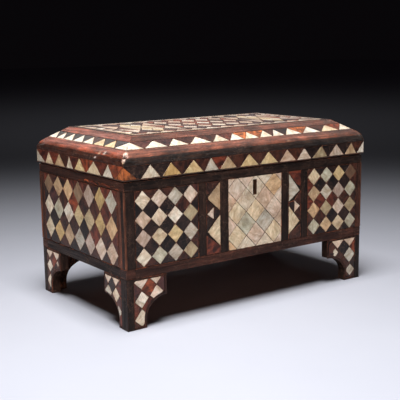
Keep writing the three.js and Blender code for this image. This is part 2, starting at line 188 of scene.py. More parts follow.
def new_group(name, inputs, outputs):
    tree = bpy.data.node_groups.new(name, "ShaderNodeTree")
    for sockets, in_out in ((inputs, "INPUT"), (outputs, "OUTPUT")):
        for label, kind in sockets.items():
            tree.interface.new_socket(label, in_out=in_out, socket_type=SOCKET_KINDS[kind])
    return tree, add(tree, "NodeGroupInput").outputs, add(tree, "NodeGroupOutput").inputs


print("kinds of socket:", len(SOCKET_KINDS))

# %% [markdown]
# The next helpers are the kinds of node that come back all the time. Each gives back an output.

# %% Often used nodes
def mix(tree, factor, first, second, blend="MIX"):
    return add(tree, "ShaderNodeMix", {0: factor, 6: first, 7: second}, data_type="RGBA",
               blend_type=blend, clamp_factor=True).outputs[2]


def arithmetic(tree, operation, first, second=0.5, third=0.5):
    sockets = {0: first, 1: second, 2: third}
    return add(tree, "ShaderNodeMath", sockets, operation=operation).outputs[0]


def ranged(tree, value, low, high, to_low=0.0, to_high=1.0):
    """Turns low to high into to_low to to_high, and stays within them."""
    sockets = {"Value": value, "From Min": low, "From Max": high, "To Min": to_low,
               "To Max": to_high}
    return add(tree, "ShaderNodeMapRange", sockets).outputs[0]


def shaded(tree, color, figure, low, high, dark, light, amount=1.0):
    """Multiplies a colour by a shade, from dark to light as a figure goes from low to high."""
    shade = mix(tree, ranged(tree, figure, low, high), (*dark, 1), (*light, 1))
    return mix(tree, amount, color, shade, "MULTIPLY")


def stretched_noise(tree, place, stretch, scale, detail=4.0, roughness=0.55, distortion=0.0):
    """Noise over a vector in millimetres, squeezed along some of its directions."""
    sockets = {0: place, 1: stretch}
    vector = add(tree, "ShaderNodeVectorMath", sockets, operation="MULTIPLY").outputs[0]
    sockets = {"Vector": vector, "Scale": scale, "Detail": detail, "Roughness": roughness,
               "Distortion": distortion}
    return add(tree, "ShaderNodeTexNoise", sockets).outputs["Fac"]


print("node helpers ready")

# %% [markdown]
# ## Effects shared by the finishes
# Every mesh made below carries three values at each vertex. `place` is a position in millimetres
# turned and shifted for each tile, so no two tiles show the same figure. `tint` is the tile's own
# colour. `rim` is 1 on its edges and 0 in its middle. The groups below read these values. *Worn
# edges* rubs the colour off where the rim is high, broken up by noise. Blender could also find
# the edges itself with a bevel node, but a value on the mesh is quicker and can be exported.

# %% Worn edges
def worn_edges_group():
    tree, source, result = new_group(
        "worn edges",
        {"Color": "color", "Worn Color": "color", "Rim": "value", "Place": "vector",
         "Amount": "value"},
        {"Color": "color", "Mask": "value"})
    rough = stretched_noise(tree, source["Place"], (0.5, 1, 1), 0.55, 5.0, 0.65)
    patches = stretched_noise(tree, source["Place"], (0.6, 1, 1), 0.07, 3.0, 0.6)
    spread = arithmetic(tree, "MULTIPLY_ADD", rough, 1.5, -1.45)
    spread = arithmetic(tree, "MULTIPLY_ADD", patches, 1.4, spread)
    reach = arithmetic(tree, "ADD", source["Rim"], spread)
    reach = arithmetic(tree, "ADD", reach, source["Amount"])
    mask = ranged(tree, reach, 1.0, 1.35)
    tree.links.new(mask, result["Mask"])
    tree.links.new(mix(tree, mask, source["Color"], source["Worn Color"]), result["Color"])
    return tree


worn_edges = worn_edges_group()
print("group:", worn_edges.name)

# %% [markdown]
# *Grime* is the dirt of two centuries. It lies in soft patches over the whole casket and gathers
# beside the joints. It multiplies the colour below it and makes the polish duller there. Fine
# brown cracks run through the old finish. They are the lines where a noise crosses its middle
# value.

# %% Grime
def grime_group():
    tree, source, result = new_group(
        "grime", {"Color": "color", "Rim": "value", "Amount": "value"},
        {"Color": "color", "Mask": "value"})
    spot = add(tree, "ShaderNodeTexCoord").outputs["Object"]
    patches = stretched_noise(tree, spot, (1, 1, 1), 45.0, 6.0, 0.62)
    specks = stretched_noise(tree, spot, (1, 1, 1), 420.0, 3.0, 0.7)
    cloud = ranged(tree, patches, 0.45, 0.8)
    dots = ranged(tree, specks, 0.62, 0.74, 0.0, 0.55)
    seams = arithmetic(tree, "MULTIPLY", source["Rim"],
                       ranged(tree, patches, 0.35, 0.65, 0.15, 0.9))
    dirt = arithmetic(tree, "MAXIMUM", arithmetic(tree, "MAXIMUM", cloud, dots), seams)
    dirt = arithmetic(tree, "MULTIPLY", dirt, source["Amount"])
    tree.links.new(dirt, result["Mask"])
    shade = mix(tree, dirt, (1, 1, 1, 1), (0.22, 0.15, 0.11, 1))
    color = mix(tree, 1.0, source["Color"], shade, "MULTIPLY")
    wander = stretched_noise(tree, spot, (1, 1, 1), 120.0, 4.0, 0.62, 0.8)
    crack = arithmetic(tree, "ABSOLUTE", arithmetic(tree, "SUBTRACT", wander, 0.5))
    crack = arithmetic(tree, "MULTIPLY", ranged(tree, crack, 0.004, 0.016, 1.0, 0.0),
                       ranged(tree, patches, 0.44, 0.6, 0.0, 0.6))
    tree.links.new(mix(tree, crack, color, (0.16, 0.09, 0.06, 1)), result["Color"])
    return tree


grime = grime_group()
print("group:", grime.name)

# %% [markdown]
# Three more groups paint the figure of a material: its colour, roughness and height from a place
# and a tint. A recipe says how, and `figure_group` wraps it in the group's sockets. *Nacre* is
# the figure of mother-of-pearl. The shell grows in thin layers, so a cut tile shows fine wavy
# lines, with clouds that lean towards pink in one place and towards green in another.

# %% Nacre
def figure_group(name, recipe):
    tree, source, result = new_group(name, {"Place": "vector", "Tint": "color"},
                                     {"Color": "color", "Roughness": "value", "Height": "value"})
    for socket, value in zip(result, recipe(tree, source["Place"], source["Tint"])):
        tree.links.new(value, socket)
    print("group:", tree.name)
    return tree


def nacre_recipe(tree, place, tint):
    clouds = stretched_noise(tree, place, (1, 1, 1), 0.09, 3.0, 0.5, 0.6)
    depth = stretched_noise(tree, place, (0.6, 1, 0.6), 0.14, 4.0, 0.6, 0.8)
    bands = stretched_noise(tree, place, (0.25, 1, 0.25), 0.34, 6.0, 0.66, 0.7)
    lines = stretched_noise(tree, place, (0.06, 1, 0.06), 1.7, 3.0, 0.6, 0.3)
    color = shaded(tree, tint, clouds, 0.3, 0.7, (0.93, 0.97, 0.93), (1.05, 0.96, 0.88))
    color = shaded(tree, color, depth, 0.32, 0.68, (0.66, 0.57, 0.46), (1.16, 1.15, 1.13))
    color = shaded(tree, color, bands, 0.36, 0.66, (0.72, 0.65, 0.56), (1.08, 1.08, 1.08), 0.6)
    color = shaded(tree, color, lines, 0.3, 0.5, (0.74, 0.67, 0.6), (1, 1, 1), 0.5)
    return (color, ranged(tree, bands, 0.3, 0.7, 0.42, 0.24),
            arithmetic(tree, "MULTIPLY_ADD", lines, 0.5, bands))


nacre = figure_group("nacre", nacre_recipe)

# %% [markdown]
# *Mottling* is the figure of tortoiseshell: nearly black clouds over clear amber. The makers laid
# it on red or gold foil, so the clear spots glow reddish. The tint says how dark a tile is on the
# whole.

# %% Mottling
def mottling_recipe(tree, place, tint):
    clouds = stretched_noise(tree, place, (0.6, 1, 1), 0.13, 5.0, 0.6, 0.8)
    fine = stretched_noise(tree, place, (0.25, 1, 1), 0.7, 4.0, 0.65, 0.4)
    color = shaded(tree, tint, clouds, 0.38, 0.66, (0.34, 0.3, 0.32), (2.15, 1.62, 1.35))
    color = shaded(tree, color, fine, 0.35, 0.6, (0.7, 0.66, 0.64), (1.15, 1.1, 1.05))
    return color, ranged(tree, fine, 0.3, 0.7, 0.3, 0.48), fine


mottling = figure_group("mottling", mottling_recipe)

# %% [markdown]
# *Wood grain* runs along the first direction of `place`: broad growth bands, narrow dark pores
# drawn out along the fibres, pale bruises, and a slow change of tone from one end of a strip to
# the other.

# %% Wood grain
def wood_grain_recipe(tree, place, tint):
    growth = stretched_noise(tree, place, (0.05, 1, 1), 0.28, 5.0, 0.6, 0.5)
    pores = stretched_noise(tree, place, (0.07, 1, 1), 1.5, 3.0, 0.65)
    tone = stretched_noise(tree, place, (0.4, 1, 1), 0.05, 4.0, 0.6)
    bruises = stretched_noise(tree, place, (0.3, 1, 1), 0.4, 4.0, 0.7, 0.6)
    color = shaded(tree, tint, growth, 0.36, 0.64, (0.42, 0.4, 0.4), (1.5, 1.43, 1.4))
    color = shaded(tree, color, tone, 0.38, 0.66, (0.58, 0.59, 0.6), (1.7, 1.52, 1.46))
    color = shaded(tree, color, bruises, 0.54, 0.7, (1, 1, 1), (2.3, 2.2, 2.2))
    color = shaded(tree, color, pores, 0.3, 0.45, (0.5, 0.45, 0.42), (1, 1, 1))
    return (color, ranged(tree, growth, 0.34, 0.66, 0.6, 0.3),
            arithmetic(tree, "MULTIPLY_ADD", ranged(tree, pores, 0.3, 0.45), 0.6, growth))


wood_grain = figure_group("wood grain", wood_grain_recipe)

# %% [markdown]
# ## The finishes
# Each material puts one figure group, the worn edges and the grime in a row, and feeds a
# Principled shader. The tiles and strips read their values from the mesh. The plain boards of the
# solid model have no such values, so their material gets a tint of its own and takes `place` from
# the object's coordinates.

# %% A finish from groups
def finish(name, figure, worn, wear, dirt, specular, coat, bump, tint=None, turn=None):
    """A material. With a tint it is for a plain board, whose grain is turned by an angle."""
    material = bpy.data.materials.new(name)
    material.use_nodes = True
    tree = material.node_tree
    tree.nodes.clear()
    if tint is None:
        place = add(tree, "ShaderNodeAttribute", attribute_name="place").outputs["Vector"]
        color = add(tree, "ShaderNodeAttribute", attribute_name="tint").outputs["Color"]
        rim = add(tree, "ShaderNodeAttribute", attribute_name="rim").outputs["Fac"]
    else:
        spot = add(tree, "ShaderNodeTexCoord").outputs["Object"]
        sockets = {"Vector": spot, "Scale": (1000, 1000, 1000), "Rotation": (0, 0, turn)}
        place = add(tree, "ShaderNodeMapping", sockets).outputs[0]
        color, rim = (*tint, 1), 0.0
    sockets = {"Place": place, "Tint": color}
    figured = add(tree, "ShaderNodeGroup", sockets, node_tree=figure).outputs
    sockets = {"Color": figured["Color"], "Worn Color": (*worn, 1), "Rim": rim, "Place": place,
               "Amount": wear}
    rubbed = add(tree, "ShaderNodeGroup", sockets, node_tree=worn_edges).outputs
    sockets = {"Color": rubbed["Color"], "Rim": rim, "Amount": dirt}
    dirty = add(tree, "ShaderNodeGroup", sockets, node_tree=grime).outputs
    dull = arithmetic(tree, "MULTIPLY_ADD", dirty["Mask"], 0.35, figured["Roughness"])
    sockets = {"Height": figured["Height"], "Strength": bump, "Distance": 0.0004}
    bumped = add(tree, "ShaderNodeBump", sockets).outputs[0]
    shader = add(tree, "ShaderNodeBsdfPrincipled",
                 {"Base Color": dirty["Color"], "Roughness": dull, "Specular IOR Level": specular,
                  "Coat Weight": coat, "Coat Roughness": 0.18, "Normal": bumped})
    add(tree, "ShaderNodeOutputMaterial", {"Surface": shader.outputs[0]})
    return material


pearl = finish("mother_of_pearl", nacre, worn=linear("6a4a34"), wear=0.2, dirt=0.6, specular=0.5,
               coat=0.25, bump=0.25)
shell = finish("tortoiseshell", mottling, worn=linear("7c4630"), wear=0.2, dirt=0.35, specular=0.28,
               coat=0.05, bump=0.4)
dark_wood = finish("dark_wood", wood_grain, worn=linear("84482f"), wear=0.08, dirt=0.4,
                   specular=0.14, coat=0.03, bump=0.7)
rail_wood = finish("rail_wood", wood_grain, worn=linear("9a5a3c"), wear=0.2, dirt=0.5,
                   specular=0.34, coat=0.12, bump=1.0)
mastic = finish("mastic", wood_grain, worn=linear("2a1a14"), wear=0.0, dirt=0.6, specular=0.2,
                coat=0.0, bump=0.6)
print("finishes:", pearl.name, shell.name, dark_wood.name, rail_wood.name, mastic.name)

# %% [markdown]
# The boards that make the box and the lid are of plain lighter wood. They keep the shapes of the
# solid model, because a sawn board is just that, and only get the finish. The grain of the front,
# back, floor and lid boards runs along the casket, and that of the ends across it.

# %% Boards
def board_finish(name, turn):
    return finish(name, wood_grain, worn=linear("8a6444"), wear=0.0, dirt=0.5, specular=0.3,
                  coat=0.0, bump=0.6, tint=linear("5e4230"), turn=turn)


BOARDS = {board_finish("plain_board", 0): ("wall_front", "wall_back", "floor_board", "lid_board"),
          board_finish("plain_board_across", math.pi / 2): ("wall_left", "wall_right")}
for material, boards in BOARDS.items():
    for name in boards:
        for material_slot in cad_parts[name].material_slots:
            material_slot.material = material
    print(material.name, "on", *boards)

# %% [markdown]
# The floor is a pale painted sheet. Two close tones in soft clouds keep it from looking like a
# flat fill, and it is matt, so it shows no reflection of the casket.

# %% The floor's own finish
def floor_finish():
    material = bpy.data.materials.new("studio_floor")
    material.use_nodes = True
    tree = material.node_tree
    shader = tree.nodes["Principled BSDF"]
    spot = add(tree, "ShaderNodeTexCoord").outputs["Object"]
    cloud = stretched_noise(tree, spot, (1, 1, 1), 6.0, 3.0)
    color = mix(tree, cloud, (*linear("d8d9e3"), 1), (*linear("dedfe8"), 1))
    tree.links.new(color, shader.inputs["Base Color"])
    shader.inputs["Roughness"].default_value = 0.7
    return material


floor_mesh.materials.append(floor_finish())
print("floor finished")

# %% [markdown]
# ## Working surfaces
# All inlay lies in flat planes: four upright faces, four slopes and the top of the lid. Each
# plane has a frame of its own, with x to the right as seen from outside, y upwards and z out of
# the surface, so one routine lays tiles on any of them. The sizes come from the solid model.

# %% Planes
class Plane:
    """A flat working surface with its own directions, in millimetres."""

    def __init__(self, origin, across, up):
        self.origin = np.array(origin, float)
        self.axes = np.array([across, up, np.cross(across, up)], float)

    def place(self, local):
        return self.origin + np.asarray(local, float) @ self.axes

    def raised(self, height):
        """The same surface moved outwards, or inwards for a negative height."""
        return Plane(self.place([0, 0, height]), *self.axes[:2])


body_low, body_high = (np.array(corner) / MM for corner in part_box("front_strips"))
half_width = body_high[0]
half_depth = -body_low[1]
directions = {"front": (1, 0), "right": (0, 1), "back": (-1, 0), "left": (0, -1)}
half_length = {"front": half_width, "back": half_width, "left": half_depth, "right": half_depth}
upright = {}
for side, (ax, ay) in directions.items():
    distance = half_depth if side in ("front", "back") else half_width
    upright[side] = Plane((ay * distance, -ax * distance, 0), (ax, ay, 0), (0, 0, 1))


def extent(side, node):
    """Left, right, bottom and top of a node of the solid model, in the plane of a face."""
    low, high = (np.array(corner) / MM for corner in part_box(node))
    corners = np.array([[x, y, z] for x in (low[0], high[0]) for y in (low[1], high[1])
                        for z in (low[2], high[2])])
    local = (corners - upright[side].origin) @ upright[side].axes.T
    return local[:, 0].min(), local[:, 0].max(), local[:, 1].min(), local[:, 1].max()


print("body", round(2 * half_width), "x", round(2 * half_depth), "mm")

# %% [markdown]
# ## Gathering shapes
# A panel has dozens of tiles. As objects they would be slow to handle, so their closed shapes are
# gathered into one mesh, with the three values on its vertices.

# %% Gather
class Gather:
    """Collects closed shapes, with the values of their vertices, for one object."""

    def __init__(self):
        self.points, self.tints, self.rims, self.places = [], [], [], []
        self.faces, self.finishes = [], []
        self.count = 0

    def add(self, points, faces, tint, rims, places, finish_index=0):
        points = np.asarray(points, float)
        self.points.append(points)
        self.tints.append(np.broadcast_to(np.asarray(tint, float), (len(points), 3)))
        self.rims.append(np.asarray(rims, float))
        self.places.append(np.asarray(places, float))
        self.faces += [tuple(k + self.count for k in face) for face in faces]
        self.finishes += [finish_index] * len(faces)
        self.count += len(points)

    def make(self, name, materials, slot, nodes):
        mesh = bpy.data.meshes.new(name)
        points = np.concatenate(self.points) * MM
        mesh.from_pydata(points.tolist(), [], self.faces)
        for label, kind, key, values in (
                ("tint", "FLOAT_COLOR", "color", self.colors()),
                ("rim", "FLOAT", "value", np.concatenate(self.rims)),
                ("place", "FLOAT_VECTOR", "vector", np.concatenate(self.places))):
            layer = mesh.attributes.new(label, kind, "POINT")
            layer.data.foreach_set(key, np.ascontiguousarray(values, np.float32).ravel())
        for material in materials:
            mesh.materials.append(material)
        mesh.polygons.foreach_set("material_index", self.finishes)
        mesh.polygons.foreach_set("use_smooth", [True] * len(self.faces))
        mesh.set_sharp_from_angle(angle=math.radians(32))
        mesh.update()
        piece = bpy.data.objects.new(name, mesh)
        bpy.context.scene.collection.objects.link(piece)
        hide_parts(*nodes)
        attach(piece, "root")
        print(name, len(self.faces), "faces")

    def colors(self):
        tints = np.concatenate(self.tints)
        return np.concatenate([tints, np.ones((len(tints), 1))], axis=1)


print("gathering ready")

# %% [markdown]
# ## One tile
# A tile is cut with a fine saw and filed to fit. Its outline wavers a little, a tip may be broken
# off, its upper edges are rounded by wear, and it sits slightly tilted in its bed. It is built
# from rings: the underside, the top of the sides, the rounded edge, the flat face, and one point
# in the middle.

# %% Outline tools
def area_and_centre(outline):
    x, y = np.asarray(outline, float).T
    cross = x * np.roll(y, -1) - np.roll(x, -1) * y
    area = cross.sum() / 2
    centre = np.array([((x + np.roll(x, -1)) * cross).sum(), ((y + np.roll(y, -1)) * cross).sum()])
    return area, centre / (6 * area)


def moved_edges(outline, distance):
    """A convex outline with every edge moved outwards, or inwards for a negative distance."""
    result = []
    for k, corner in enumerate(outline):
        before, after = np.asarray(outline[k - 1]), np.asarray(outline[(k + 1) % len(outline)])
        a = (corner - before) / np.linalg.norm(corner - before)
        b = (after - corner) / np.linalg.norm(after - corner)
        normal = np.array([a[1] + b[1], -a[0] - b[0]])
        result.append(corner + normal * distance / max(0.15, 1 + a @ b))
    return result


print("outline helpers ready")

# %% [markdown]
# A tile at a border is cut by a straight line: the corners on one side stay, and new ones come
# where an edge crosses the line. The wavering of a sawn edge comes last.

# %% Cutting outlines
def cut(outline, normal, limit):
    """What is left of a convex outline where normal . point is at most the limit."""
    normal = np.asarray(normal, float)
    kept = []
    for k, corner in enumerate(outline):
        after = outline[(k + 1) % len(outline)]
        here, there = limit - normal @ corner, limit - normal @ after
        if here >= 0:
            kept.append(corner)
        if here * there < 0:
            kept.append(corner + (after - corner) * here / (here - there))
    return kept


def cut_to_box(outline, box):
    left, right, bottom, top = box
    outline = [np.asarray(corner, float) for corner in outline]
    for normal, limit in (((-1, 0), -left), ((1, 0), right), ((0, -1), -bottom), ((0, 1), top)):
        outline = cut(outline, normal, limit)
        if len(outline) < 3:
            return []
    return outline


def tidy(outline, shortest=0.4):
    """The outline without edges too short to cut."""
    kept = []
    for corner in outline:
        if not kept or np.linalg.norm(corner - kept[-1]) > shortest:
            kept.append(corner)
    while len(kept) > 2 and np.linalg.norm(kept[0] - kept[-1]) <= shortest:
        kept.pop()
    return kept


def wavering(outline, rng, step=3.2, wobble=0.1):
    """Points along the outline, each pushed a little in or out."""
    points = []
    for k, corner in enumerate(outline):
        after = outline[(k + 1) % len(outline)]
        edge = after - corner
        length = np.linalg.norm(edge)
        normal = np.array([edge[1], -edge[0]]) / length
        parts = max(1, round(length / step))
        for i in range(parts):
            push = rng.uniform(-wobble, wobble) if i else -0.5 * wobble
            points.append(corner + edge * i / parts + normal * push)
    return np.array(points)


print("outline tools ready")

# %% The tile itself
JOINT = 0.45
TILE_DEPTH = 1.0
TILT = 0.006
FLAT_INSET = 1.3
CROWN = 0.03
SMALLEST_TILE = 3


def ring_faces(first, second, count):
    """The quads between two rings of points. first and second are where their numbers start."""
    return [(first + i, first + (i + 1) % count, second + (i + 1) % count, second + i)
            for i in range(count)]


def beam_faces(rings, count):
    """The faces of a closed beam of rings with count points each: two caps and the sides."""
    last = (rings - 1) * count
    faces = [tuple(reversed(range(count))), tuple(range(last, last + count))]
    for start in range(0, last, count):
        faces += ring_faces(start, start + count, count)
    return faces


def flipped(faces):
    """The same faces, looking the other way."""
    return [tuple(reversed(face)) for face in faces]


def figure_places(points, angle, rng):
    """Positions for the figure, turned by an angle and shifted to their own part of the noise."""
    turn = np.array([[math.cos(angle), -math.sin(angle), 0], [math.sin(angle), math.cos(angle), 0],
                     [0, 0, 1]])
    shift = np.array([rng.uniform(0, 900) for _ in range(3)])
    return points @ turn + shift


print("ring helpers ready")

# %% [markdown]
# Chance sets a tile's broken tip, tilt and height, always drawn in the same order.

# %% Laying a tile
def lay_tile(gather, plane, outline, tint, rng, finish_index=0, angle=None, chip=0.36, lift=0.07,
             hollow=None, joint=JOINT, wobble=0.14):
    """Lays one tile on a plane.

    chip is the chance of a broken tip, and hollow may push the outline off a curved edge."""
    outline = tidy([np.asarray(corner, float) for corner in outline])
    if len(outline) < 3:
        return
    area, _ = area_and_centre(outline)
    if area < 0:
        outline.reverse()
    if abs(area) < SMALLEST_TILE:
        return
    outline = moved_edges(outline, -joint / 2)
    corner = rng.randrange(len(outline))
    if rng.random() < chip:
        outline = broken_tip(outline, corner, rng)
    ring = wavering(outline, rng, wobble=wobble)
    if hollow:
        ring = hollow(ring)
    area, centre = area_and_centre(ring)
    perimeter = np.linalg.norm(ring - np.roll(ring, 1, axis=0), axis=1).sum()
    inner_radius = 2 * area / perimeter
    tilt = np.array([rng.uniform(-1, 1), rng.uniform(-1, 1)]) * TILT
    height = rng.uniform(-lift, lift) * 0.6 - 0.02

    def level(inset, depth):
        points = ring + (centre - ring) * min(0.95, inset / inner_radius)
        rise = (points - centre) @ tilt
        return np.column_stack([points, height + rise - depth])

    soft = rng.uniform(0.12, 0.22)
    count = len(ring)
    rings = [level(0, 0), level(0, soft), level(soft, 0), level(FLAT_INSET, -CROWN)]
    rings[0][:, 2] = -TILE_DEPTH
    points = np.concatenate(rings + [[[*centre, height + CROWN]]])
    faces = [tuple(reversed(range(count)))]
    for k in range(3):
        faces += ring_faces(k * count, (k + 1) * count, count)
    faces += [(3 * count + i, 3 * count + (i + 1) % count, 4 * count) for i in range(count)]
    rims = np.repeat([1.0, 1.0, 0.85, 0.12], count).tolist() + [0.0]
    angle = rng.uniform(0, math.pi) if angle is None else angle
    places = figure_places(points - np.array([*centre, 0]), angle, rng)
    gather.add(plane.place(points), faces, tint, rims, places, finish_index)


def broken_tip(outline, k, rng):
    corner, before, after = outline[k], outline[k - 1], outline[(k + 1) % len(outline)]
    back, forth = rng.uniform(0.6, 2.2), rng.uniform(0.6, 2.2)
    first = corner + (before - corner) * min(0.3, back / np.linalg.norm(before - corner))
    second = corner + (after - corner) * min(0.3, forth / np.linalg.norm(after - corner))
    return outline[:k] + [first, second] + outline[k + 1:]


print("tile ready")

# %% [markdown]
# ## Colours of the tiles
# Shell from different animals and different parts of one shell differs widely: white, pink, cool
# grey, olive and deep yellow. The colours have plain names, so a panel can be written down tile
# by tile.

# %% Colour names
def palette(**codes):
    return {name: np.array(linear(code)) for name, code in codes.items()}


PEARL = palette(white="ece7e0", ivory="e6dbcd", cream="e2d3ba", pink="e2d1c6", blush="d6bead",
                peach="e0c09c", yellow="dac79e", gold="ccb07c", olive="b4a68a", sage="c4c4b6",
                ash="cac6be", grey="bcb6ae", mauve="bda9a0", tan="c6ad90", umber="8e7660",
                bark="6e5444")
SHELL = palette(black="1e1614", brown="38221a", red="502a1f", rust="6e3b26", orange="8e5a34",
                plum="3c2626")
WOOD = palette(dark="211712", warm="38221a", reddish="5e3a2c", dust="5a4636", rubbed="573829")


def varied(color, rng, spread=0.06):
    """The colour a little lighter or darker, and a little warmer or cooler."""
    light, warm = 1 + rng.uniform(-spread, spread), rng.uniform(-spread, spread) * 0.5
    return color * light * np.array([1 + warm, 1, 1 - warm])


print("colours:", len(PEARL), "of pearl,", len(SHELL), "of tortoiseshell,", len(WOOD), "of wood")

# %% [markdown]
# ## Strips
# A strip is a thin length of dark wood glued between the panels. Its arrises are rounded and
# nibbled. It is a closed beam: a cross-section with more points near its edges, repeated at
# stations along its length.

# %% Strip
SKIN = 2.0
STRIP_ARRIS = 0.35
STRIP_SHOULDER = 1.4
STRIP_NIBBLE = 0.12


def lay_strip(gather, plane, left, right, bottom, top, tint, rng, finish_index=0, thick=SKIN):
    standing = right - left < top - bottom
    length, width = (top - bottom, right - left) if standing else (right - left, top - bottom)
    stations = max(2, round(length / 4)) + 1
    half = width / 2
    offsets = [-half, -half + STRIP_ARRIS, -half + STRIP_SHOULDER, 0, half - STRIP_SHOULDER,
               half - STRIP_ARRIS, half]
    rims = [1, 0.9, 0.15, 0, 0.15, 0.9, 1]
    points = []
    slope = rng.uniform(-0.05, 0.05)
    for k in range(stations):
        along = -length / 2 + length * k / (stations - 1)
        nibble = [rng.uniform(0, STRIP_NIBBLE) ** 1.5 for _ in range(2)]
        for j, offset in enumerate(offsets):
            edge, squeeze = j in (0, 6), 1 if j < 3 else -1
            bite = nibble[0 if j < 3 else 1] if j in (0, 1, 5, 6) else 0
            dip = STRIP_ARRIS if edge else 0
            points.append((along, offset + squeeze * bite * (1 if edge else 0.6),
                           slope - dip - bite))
        points += [(along, half, -thick), (along, -half, -thick)]
    rims = (rims + [1, 1]) * stations
    faces = beam_faces(stations, len(offsets) + 2)
    points = np.array(points)
    places = figure_places(points, 0, rng)
    centre = np.array([(left + right) / 2, (bottom + top) / 2, 0])
    if standing:
        points = points[:, [1, 0, 2]] * np.array([-1, 1, 1])
    gather.add(plane.place(points + centre), faces, tint, rims, places, finish_index)


print("strip ready")

# %% [markdown]
# ## Panels of lozenges
# Squares set cornerwise form a lattice: pearl tiles stand in rows and columns, tip to tip, and
# the spaces between them are tortoiseshell tiles of the same shape. Both kinds share their tips.
# So the lattice points are moved a little once, and the tiles of both kinds still fit, as when
# one maker files each tile to its neighbours. At the border the dark tiles are cut to triangles.

# %% Lattice
class Lattice:
    """Shared tips of a panel of lozenges. warp turns column and row numbers into a place."""

    def __init__(self, columns, rows, warp, rng, jitter=0.5):
        self.columns, self.rows, self.warp = columns, rows, warp
        self.shift = {}
        for i in range(-2, 2 * columns + 3):
            for j in range(-2, 2 * rows + 3):
                inside = 0 < i < 2 * columns and 0 < j < 2 * rows
                reach = jitter if inside else jitter * 0.3
                self.shift[i, j] = (rng.uniform(-reach, reach), rng.uniform(-reach, reach))

    def tip(self, i, j):
        """A tip by its count of half tiles from the lower left corner of the panel."""
        return np.array(self.warp(i / 2, j / 2)) + self.shift[i, j]

    def lozenge(self, i, j):
        """The lozenge around a point of the lattice, anticlockwise."""
        return [self.tip(i - 1, j), self.tip(i, j - 1), self.tip(i + 1, j), self.tip(i, j + 1)]

    def pearls(self):
        """Column, row and outline of each pearl tile. Rows count from the top."""
        for row in range(self.rows):
            for column in range(self.columns):
                yield column, row, self.lozenge(2 * column + 1, 2 * (self.rows - row) - 1)

    def between(self):
        for row in range(self.rows + 1):
            for column in range(self.columns + 1):
                yield column, row, self.lozenge(2 * column, 2 * (self.rows - row))


def even_grid(box, columns, rows):
    left, right, bottom, top = box
    width, height = (right - left) / columns, (top - bottom) / rows
    return lambda i, j: (left + width * i, bottom + height * j)


def rectangle(left, right, bottom, top):
    return [(left, bottom), (right, bottom), (right, top), (left, top)]


def lay_bed(gather, plane, box, finish_index, rng):
    """The mastic bed: a closed slab under the tiles."""
    points = np.array([(*corner, depth) for depth in (-SKIN, -TILE_DEPTH)
                       for corner in rectangle(*box)])
    faces = [(3, 2, 1, 0), (4, 5, 6, 7)] + ring_faces(0, 4, 4)
    gather.add(plane.place(points), faces, WOOD["dark"], np.zeros(8), figure_places(points, 0, rng),
               finish_index)


print("lattice ready")

# %% [markdown]
# A panel is two pieces, each in place of a solid node: the pearls, and the tortoiseshell with its
# bed.

# %% Panels
def make_pearls(gather, name):
    gather.make(name + "_pearls_laid", [pearl], "pearl", [name + "_pearls"])


def make_shell(gather, name):
    gather.make(name + "_shell_laid", [shell, mastic], "tortoiseshell", [name + "_shell"])


def words(text):
    return [row.split() for row in text.strip().splitlines()]


def lozenge_panel(side, name, columns, rows, pearl_words, shell_words, seed, warp=None,
                  jitter=0.5):
    rng = random.Random(seed)
    pearls, shells = Gather(), Gather()
    box = extent(side, name + "_shell")
    lattice = Lattice(columns, rows, warp or even_grid(box, columns, rows), rng, jitter)
    inner = (box[0] + 0.2, box[1] - 0.2, box[2] + 0.2, box[3] - 0.2)
    for column, row, outline in lattice.pearls():
        tint = varied(PEARL[pearl_words[row][column]], rng)
        lay_tile(pearls, upright[side], cut_to_box(outline, inner), tint, rng)
    for column, row, outline in lattice.between():
        tint = varied(SHELL[shell_words[row][column]], rng, 0.15)
        lay_tile(shells, upright[side], cut_to_box(outline, inner), tint, rng, chip=0.6)
    lay_bed(shells, upright[side], box, 1, rng)
    make_pearls(pearls, name)
    make_shell(shells, name)


print("lozenge panels ready")

# %% [markdown]
# The two panels of the front have four by four pearl tiles each. The colours are written down as
# they lie, row by row from the top. The dark tiles are one more in each direction, with the half
# ones.

# %% Front panels
lozenge_panel("front", "front_left", 4, 4, words("""
    ivory pink ash pink
    blush ivory white olive
    mauve cream yellow ash
    ivory sage grey olive"""), words("""
    brown brown brown black plum
    black black black brown black
    black black black black black
    black black black black brown
    brown brown black brown black"""), seed=11)
lozenge_panel("front", "front_right", 4, 4, words("""
    cream sage yellow bark
    tan ash mauve sage
    peach olive pink olive
    sage peach cream sage"""), words("""
    brown black black black brown
    red black black black brown
    red red red brown brown
    brown brown black black brown
    brown black black black black"""), seed=12)

# %% [markdown]
# Each end has seven columns of three taller lozenges. Their rows drop towards the front corner,
# because the maker fitted the tiles as they came. The warp below says where the rows lie at
# either end.

# %% End panels
def fanned_rows(box, columns, near, far, near_on_right):
    """Rows whose heights run from one set of lines at the near end to another at the far end."""
    left, right = box[0], box[1]

    def warp(i, j):
        t = i / columns
        t = t if near_on_right else 1 - t
        lines = [line_far + (line_near - line_far) * t for line_near, line_far in zip(near, far)]
        height = np.interp(j, [-1, 0, 1, 2, 3, 4], [lines[0] - 30, *lines, lines[-1] + 30])
        return left + (right - left) * i / columns, height

    return warp


